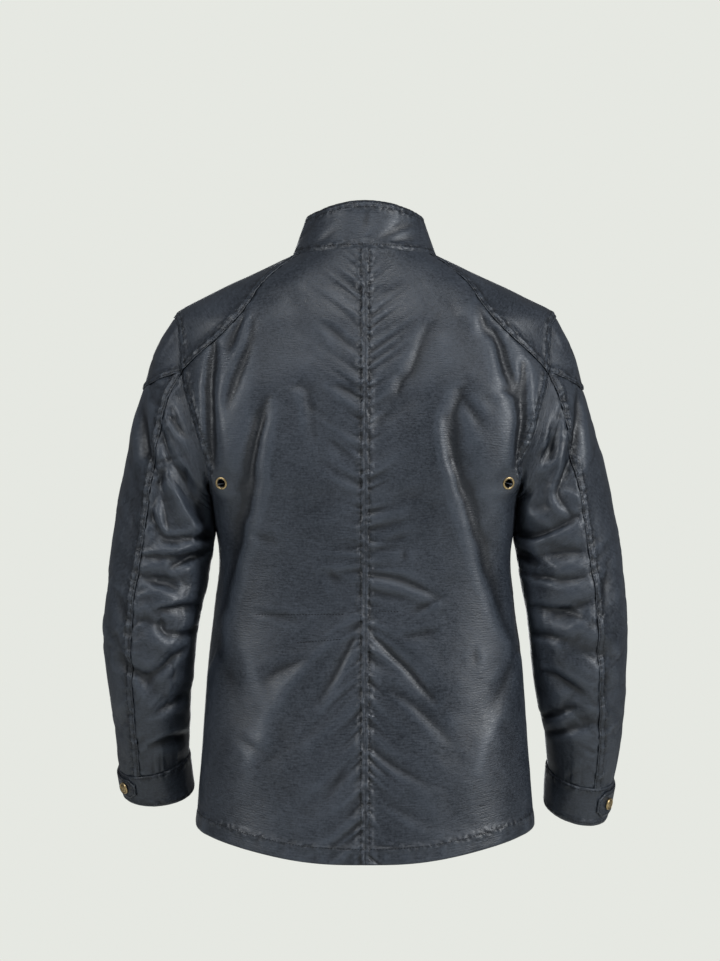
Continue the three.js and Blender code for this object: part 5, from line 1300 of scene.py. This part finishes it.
# First and last row of the panel that a piece covers, its lift, flat size and seed
LAID = {
    "pocket": (1, 7, 2.1, (0.17, 0.17), 801),
    "pocket_flap": (5, 7, 4.2, (0.17, 0.066), 811),
}
first, last = POCKET_COLUMNS
columns = first + (last - first) * spread_lines(POCKET_WIDE, True, True)
for part, (low, high, lift, flat, seed) in LAID.items():
    rows = low + (high - low) * spread_lines(ROW_TALL * (high - low), True, True)
    deg, z = front_places(rows, columns / FRONT_COLUMNS)
    base, facing = smooth_body(deg, z), body_normal(deg, z)
    gaps_x, gaps_z = (np.linalg.norm(np.diff(base, axis=axis), axis=-1) for axis in (0, 1))
    run_x = np.pad(np.cumsum(gaps_x, axis=0), ((1, 0), (0, 0)))
    run_z = np.pad(np.cumsum(gaps_z, axis=1), ((0, 0), (1, 0)))
    edges = [run_x, run_x[-1:] - run_x, run_z, run_z[:, -1:] - run_z]
    edge = np.minimum.reduce(edges)
    inner_x = np.minimum(edges[0], edges[1])[:, 0] > POCKET_ROW
    inner_z = np.minimum(edges[2], edges[3])[0] > POCKET_ROW
    for name, side in SIDES:
        height = lift + body_relief(side, deg, z, base) + 0.3 - 0.8 * dent(edge, 1.1)
        height = height - 0.42 * dent(edge - POCKET_ROW, 1.0)
        height = height + 0.6 * puckers(np.abs(edge - POCKET_ROW), run_x + run_z, 10, 4.5, seed + side)
        surface = raised(side, base, facing, height)
        lines = []
        for k, away in enumerate(edges):
            axis, keep = (0, inner_z) if k < 2 else (1, inner_x)
            lines += stitch_rows(surface, away, [POCKET_ROW], axis=axis, end=k % 2 == 1, keep=keep)
        new_sheet(f"{part}_{name}", surface, POCKET_WALL, lines)


# Zip tapes: flat woven strips behind the front edges, ribbed along their length.
TAPE_FROM, TAPE_TO, TAPE_TOP, TAPE_LOW, TAPE_LIFT = 3.4, 20, 66, 707, -2.5
TAPE_THREADS, TAPE_FLAT, TAPE_WALL = 4200.0, (0.0168, 0.645), 0.9
tape_cloth, tree, shader = new_material("tape_cloth", (0.016, 0.018, 0.022), 0.8)
ribs = node(tree, "ShaderNodeGroup", {"Threads": TAPE_THREADS}, node_tree=weave).outputs["Height"]
tree.links.new(bumped(tree, ribs, 0.6, 0.0003), shader.inputs["Normal"])
shader.inputs["Sheen Weight"].default_value = 0.2
xs, zs = np.meshgrid(np.linspace(TAPE_FROM, TAPE_TO, 5), np.linspace(-TAPE_LOW, -TAPE_TOP, 90), indexing="ij")
deg = body_angle(xs, -zs, False)
base, facing = smooth_body(deg, zs), body_normal(deg, zs)
for name, side in SIDES:
    surface = raised(side, base, facing, np.full(deg.shape, TAPE_LIFT))
    new_sheet(f"zip_tape_{name}", surface, TAPE_WALL, paint=tape_cloth)


# Brass: studs, eyelets and zip, cast or pressed, dulled in the hollows and rubbed bright on the rims.
BRASS_BRIGHT, BRASS_DULL = (0.5, 0.37, 0.19), (0.17, 0.12, 0.06)
brass, tree, shader = new_material("antique_brass", BRASS_BRIGHT, 0.34, 1.0)
where = node(tree, "ShaderNodeTexCoord").outputs["Object"]
stains = speckle(tree, where, 260, 4)
rims = fitted(tree, node(tree, "ShaderNodeNewGeometry").outputs["Pointiness"], 0.46, 0.54)
polish = node(tree, "ShaderNodeValToRGB", {"Fac": computed(tree, "ADD", stains, rims)})
for stop, place, color in zip(polish.color_ramp.elements, (0.6, 1), (BRASS_DULL, BRASS_BRIGHT)):
    stop.position = place
    stop.color = (*color, 1)
tree.links.new(polish.outputs["Color"], shader.inputs["Base Color"])
tree.links.new(fitted(tree, stains, 0, 1, 0.24, 0.49), shader.inputs["Roughness"])
tree.links.new(bumped(tree, stains, 0.2, 0.0002), shader.inputs["Normal"])


def settle(made, name, middle, axes, paint, body="jacket"):
    mesh = made.data
    points = np.empty(3 * len(mesh.vertices))
    mesh.vertices.foreach_get("co", points)
    points = (points.reshape(-1, 3) @ np.array(axes) + np.array(middle)) * MM
    mesh.vertices.foreach_set("co", points.ravel())
    mesh.update()
    made.name = name
    mesh.materials.clear()
    mesh.materials.append(paint)
    made.select_set(True)
    bpy.context.view_layer.objects.active = made
    bpy.ops.object.shade_smooth_by_angle(angle=math.radians(35))
    made.select_set(False)
    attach(made, body)
    return made


def axes_for(out, up=(0, 0, 1)):
    out = unit(np.array(out, float))
    across = unit(np.cross(np.array(up, float), out))
    return [across, np.cross(out, across), out]


def turned_piece(profile, sides):
    """A round piece spun from a profile of radius and height."""
    mesh = bpy.data.meshes.new("profile")
    mesh.from_pydata([(r, 0, h) for r, h in profile], [(k, k + 1) for k in range(len(profile) - 1)], [])
    made = bpy.data.objects.new("profile", mesh)
    scene.collection.objects.link(made)
    bpy.ops.object.select_all(action="DESELECT")
    made.select_set(True)
    bpy.context.view_layer.objects.active = made
    bpy.ops.object.mode_set(mode="EDIT")
    bpy.ops.mesh.select_all(action="SELECT")
    bpy.ops.mesh.spin(steps=sides, angle=2 * math.pi, center=(0, 0, 0), axis=(0, 0, 1))
    bpy.ops.mesh.select_all(action="SELECT")
    bpy.ops.mesh.remove_doubles(threshold=0.001)
    bpy.ops.mesh.normals_make_consistent(inside=False)
    bpy.ops.object.mode_set(mode="OBJECT")
    made.select_set(False)
    return made


# Radius and height of each point of a profile
STUD_PROFILE = [
    (0, 0.2), (6.6, 0.2), (7.3, 0.5), (7.5, 1.0), (7.5, 1.6), (7.2, 2.2), (6.7, 2.6), (6.2, 2.6), (5.8, 2.25),
    (5.4, 2.05), (4.9, 2.15), (3.9, 2.5), (3.5, 2.8), (3.0, 2.85), (2.6, 2.65), (1.6, 2.85), (0, 2.95),
]
EYELET_PROFILE = [
    (5.3, -3.6), (6.8, -3.6), (6.9, -2.6), (5.8, -2.4), (5.8, -0.2), (7.3, 0.0), (7.7, 0.25), (7.6, 0.7),
    (7.1, 1.1), (6.5, 1.2), (5.8, 1.05), (5.4, 0.7), (5.3, 0.2), (5.3, -3.6),
]
ROUND = 36
for name, side in SIDES:
    turned = np.array([side, 1, 1])
    turn, level = np.array(math.radians(STUD_DEG[name])), np.array(TAB_LEVEL)
    seat, out = cuff_point(name, turn, level, np.array(TAB_LIFT)), cuff_facing(name, turn, level)
    stud = turned_piece(STUD_PROFILE, ROUND)
    settle(stud, f"stud_{name}", seat * turned, axes_for(out * turned), brass)
    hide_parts(f"cuff_stud_{name}")
    ring = turned_piece(EYELET_PROFILE, ROUND)
    settle(ring, f"air_eyelet_{name}", EYELET_CENTRE * turned, axes_for(EYELET_OUT * turned), brass)
    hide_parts(f"eyelet_{name}")


# Zip: two rows of brass teeth that interlock, and a slider whose tab hangs from a bail.
CHAIN_TOP, CHAIN_LIFT, CHAIN_THICK, TOOTH_PITCH, TOOTH_ASIDE = 79, -1.5, 3, 2.9, 1.25
TOOTH_SIZE, TOOTH_BEVEL = (3.1, 1.25, 2.6), 0.3
ACROSS = np.array([1.0, 0, 0])
bpy.ops.mesh.primitive_cube_add(size=1)
tooth = bpy.context.object
tooth.scale = TOOTH_SIZE
bpy.ops.object.transform_apply(location=False, rotation=False, scale=True)
bevel = tooth.modifiers.new("bevel", "BEVEL")
bevel.width = TOOTH_BEVEL
bevel.segments = 1
bpy.ops.object.modifier_apply(modifier="bevel")
tooth.data.calc_loop_triangles()
tooth_points = np.array([v.co for v in tooth.data.vertices])
tooth_faces = np.array([t.vertices for t in tooth.data.loop_triangles])
bpy.data.objects.remove(tooth)
heights = np.arange(-TAPE_LOW + 2, -CHAIN_TOP, TOOTH_PITCH / 2)
front = np.full(len(heights), -90.0)
outward = body_normal(front, heights)
middles = smooth_body(front, heights) + outward * (CHAIN_LIFT - CHAIN_THICK / 2)
middles[:, 0] += np.where(np.arange(len(heights)) % 2 == 0, -TOOTH_ASIDE, TOOTH_ASIDE)
axes = np.stack([np.broadcast_to(ACROSS, outward.shape), np.cross(outward, ACROSS), outward], 1)
copies = middles[:, None] + tooth_points @ axes
shift = np.arange(len(copies))[:, None, None] * len(tooth_points)
chain = mesh_object("zip_teeth", copies.reshape(-1, 3), (tooth_faces + shift).reshape(-1, 3), brass)
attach(chain, "jacket")
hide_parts("zip_chain")

SLIDER_DOWN, SLIDER_HALF, PLATE, SLIDER_LOW, SLIDER_HIGH = 76, 4.5, 1.4, -8, 7
BAIL_THICK, BAIL_HALF, BAIL_TALL, BAIL_HOLE, PIN_OUT = 2.4, 3.5, 4.1, 1.3, 2.2
PIN, WINDOW, WINDOW_LONG, PULL_LONG, GRIP, GRIP_RIBS = 0.8, 1.9, 5.2, 30, 7, (-16, -19, -22, -25)
down_front = np.array(-90.0), np.array(-float(SLIDER_DOWN))
slider_at, slider_out = smooth_body(*down_front), body_normal(*down_front)
slider_axes = [ACROSS, np.cross(slider_out, ACROSS), slider_out]


def slab(outline, low, high, bevel_width):
    """A plate with rounded edges from an outline in its own X and Y, between two heights."""
    mesh = bpy.data.meshes.new("slab")
    mesh.from_pydata([(x, y, low) for x, y in outline], [], [list(range(len(outline)))])
    made = bpy.data.objects.new("slab", mesh)
    scene.collection.objects.link(made)
    bpy.ops.object.select_all(action="DESELECT")
    made.select_set(True)
    bpy.context.view_layer.objects.active = made
    bpy.ops.object.mode_set(mode="EDIT")
    bpy.ops.mesh.select_all(action="SELECT")
    bpy.ops.mesh.extrude_region_move(TRANSFORM_OT_translate={"value": (0, 0, high - low)})
    bpy.ops.mesh.select_all(action="SELECT")
    bpy.ops.mesh.normals_make_consistent(inside=False)
    bpy.ops.object.mode_set(mode="OBJECT")
    rim = made.modifiers.new("rim", "BEVEL")
    rim.width = bevel_width
    rim.segments = 2
    rim.limit_method = "ANGLE"
    bpy.ops.object.modifier_apply(modifier="rim")
    made.select_set(False)
    return made


def joined(pieces):
    bpy.ops.object.select_all(action="DESELECT")
    for piece in pieces:
        piece.select_set(True)
    bpy.context.view_layer.objects.active = pieces[0]
    bpy.ops.object.join()
    pieces[0].select_set(False)
    return pieces[0]


face, rear = CHAIN_LIFT + 0.3, CHAIN_LIFT - CHAIN_THICK - 0.3
heart = [
    (-SLIDER_HALF, SLIDER_HIGH - 2), (-SLIDER_HALF + 1.6, SLIDER_HIGH), (SLIDER_HALF - 1.6, SLIDER_HIGH),
    (SLIDER_HALF, SLIDER_HIGH - 2), (SLIDER_HALF, 0), (SLIDER_HALF - 0.9, SLIDER_LOW + 0.6),
    (SLIDER_HALF - 1.6, SLIDER_LOW), (-SLIDER_HALF + 1.6, SLIDER_LOW),
    (-SLIDER_HALF + 0.9, SLIDER_LOW + 0.6), (-SLIDER_HALF, 0),
]
wedge = [(-2.4, SLIDER_HIGH - 3), (2.4, SLIDER_HIGH - 3), (1.6, SLIDER_HIGH - 0.3), (-1.6, SLIDER_HIGH - 0.3)]
foot = face + PLATE - 0.4
bail_side = [
    (-BAIL_HALF, foot), (-BAIL_HALF, BAIL_TALL - 1.4), (-BAIL_HALF + 1.6, BAIL_TALL),
    (BAIL_HALF - 1.6, BAIL_TALL), (BAIL_HALF, BAIL_TALL - 1.4), (BAIL_HALF, foot), (BAIL_HOLE, foot),
    (BAIL_HOLE, PIN_OUT + 0.6), (0.7, PIN_OUT + BAIL_HOLE), (-0.7, PIN_OUT + BAIL_HOLE),
    (-BAIL_HOLE, PIN_OUT + 0.6), (-BAIL_HOLE, foot),
]
bail = slab(bail_side, -BAIL_THICK / 2, BAIL_THICK / 2, 0.25)
for vertex in bail.data.vertices:
    vertex.co = vertex.co.zxy
slider = joined([slab(heart, face, face + PLATE, 0.35), slab(heart, rear - PLATE, rear, 0.35),
                 slab(wedge, rear - 0.3, face + 0.3, 0.1), bail])
settle(slider, "slider", slider_at, slider_axes, brass)
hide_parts("zip_slider")

wide, top, narrow = WINDOW + 1.7, PIN + 0.6, -WINDOW_LONG - 5
pull_outline = [
    (-wide, top), (-wide, -WINDOW_LONG - 3), (-GRIP / 2, narrow), (-GRIP / 2, -PULL_LONG + 2),
    (-GRIP / 2 + 2, -PULL_LONG), (GRIP / 2 - 2, -PULL_LONG), (GRIP / 2, -PULL_LONG + 2),
    (GRIP / 2, narrow), (wide, -WINDOW_LONG - 3), (wide, top), (WINDOW, top),
    (WINDOW, -WINDOW_LONG), (-WINDOW, -WINDOW_LONG), (-WINDOW, top),
]
tab = slab(pull_outline, -PIN, PIN, 0.3)
bpy.ops.mesh.primitive_cylinder_add(vertices=16, radius=PIN * 0.95, depth=2 * WINDOW + 1)
pin = bpy.context.object
for vertex in pin.data.vertices:
    vertex.co = vertex.co.zyx
grips = [slab([(-2.3, y), (2.3, y), (2.3, y - 1.2), (-2.3, y - 1.2)], -PIN - 0.35, PIN + 0.35, 0.25)
         for y in GRIP_RIBS]
pull = joined([tab, pin] + grips)
settle(pull, "pull", slider_at + slider_out * PIN_OUT, slider_axes, brass, "pull_tab")
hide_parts("zip_pull")
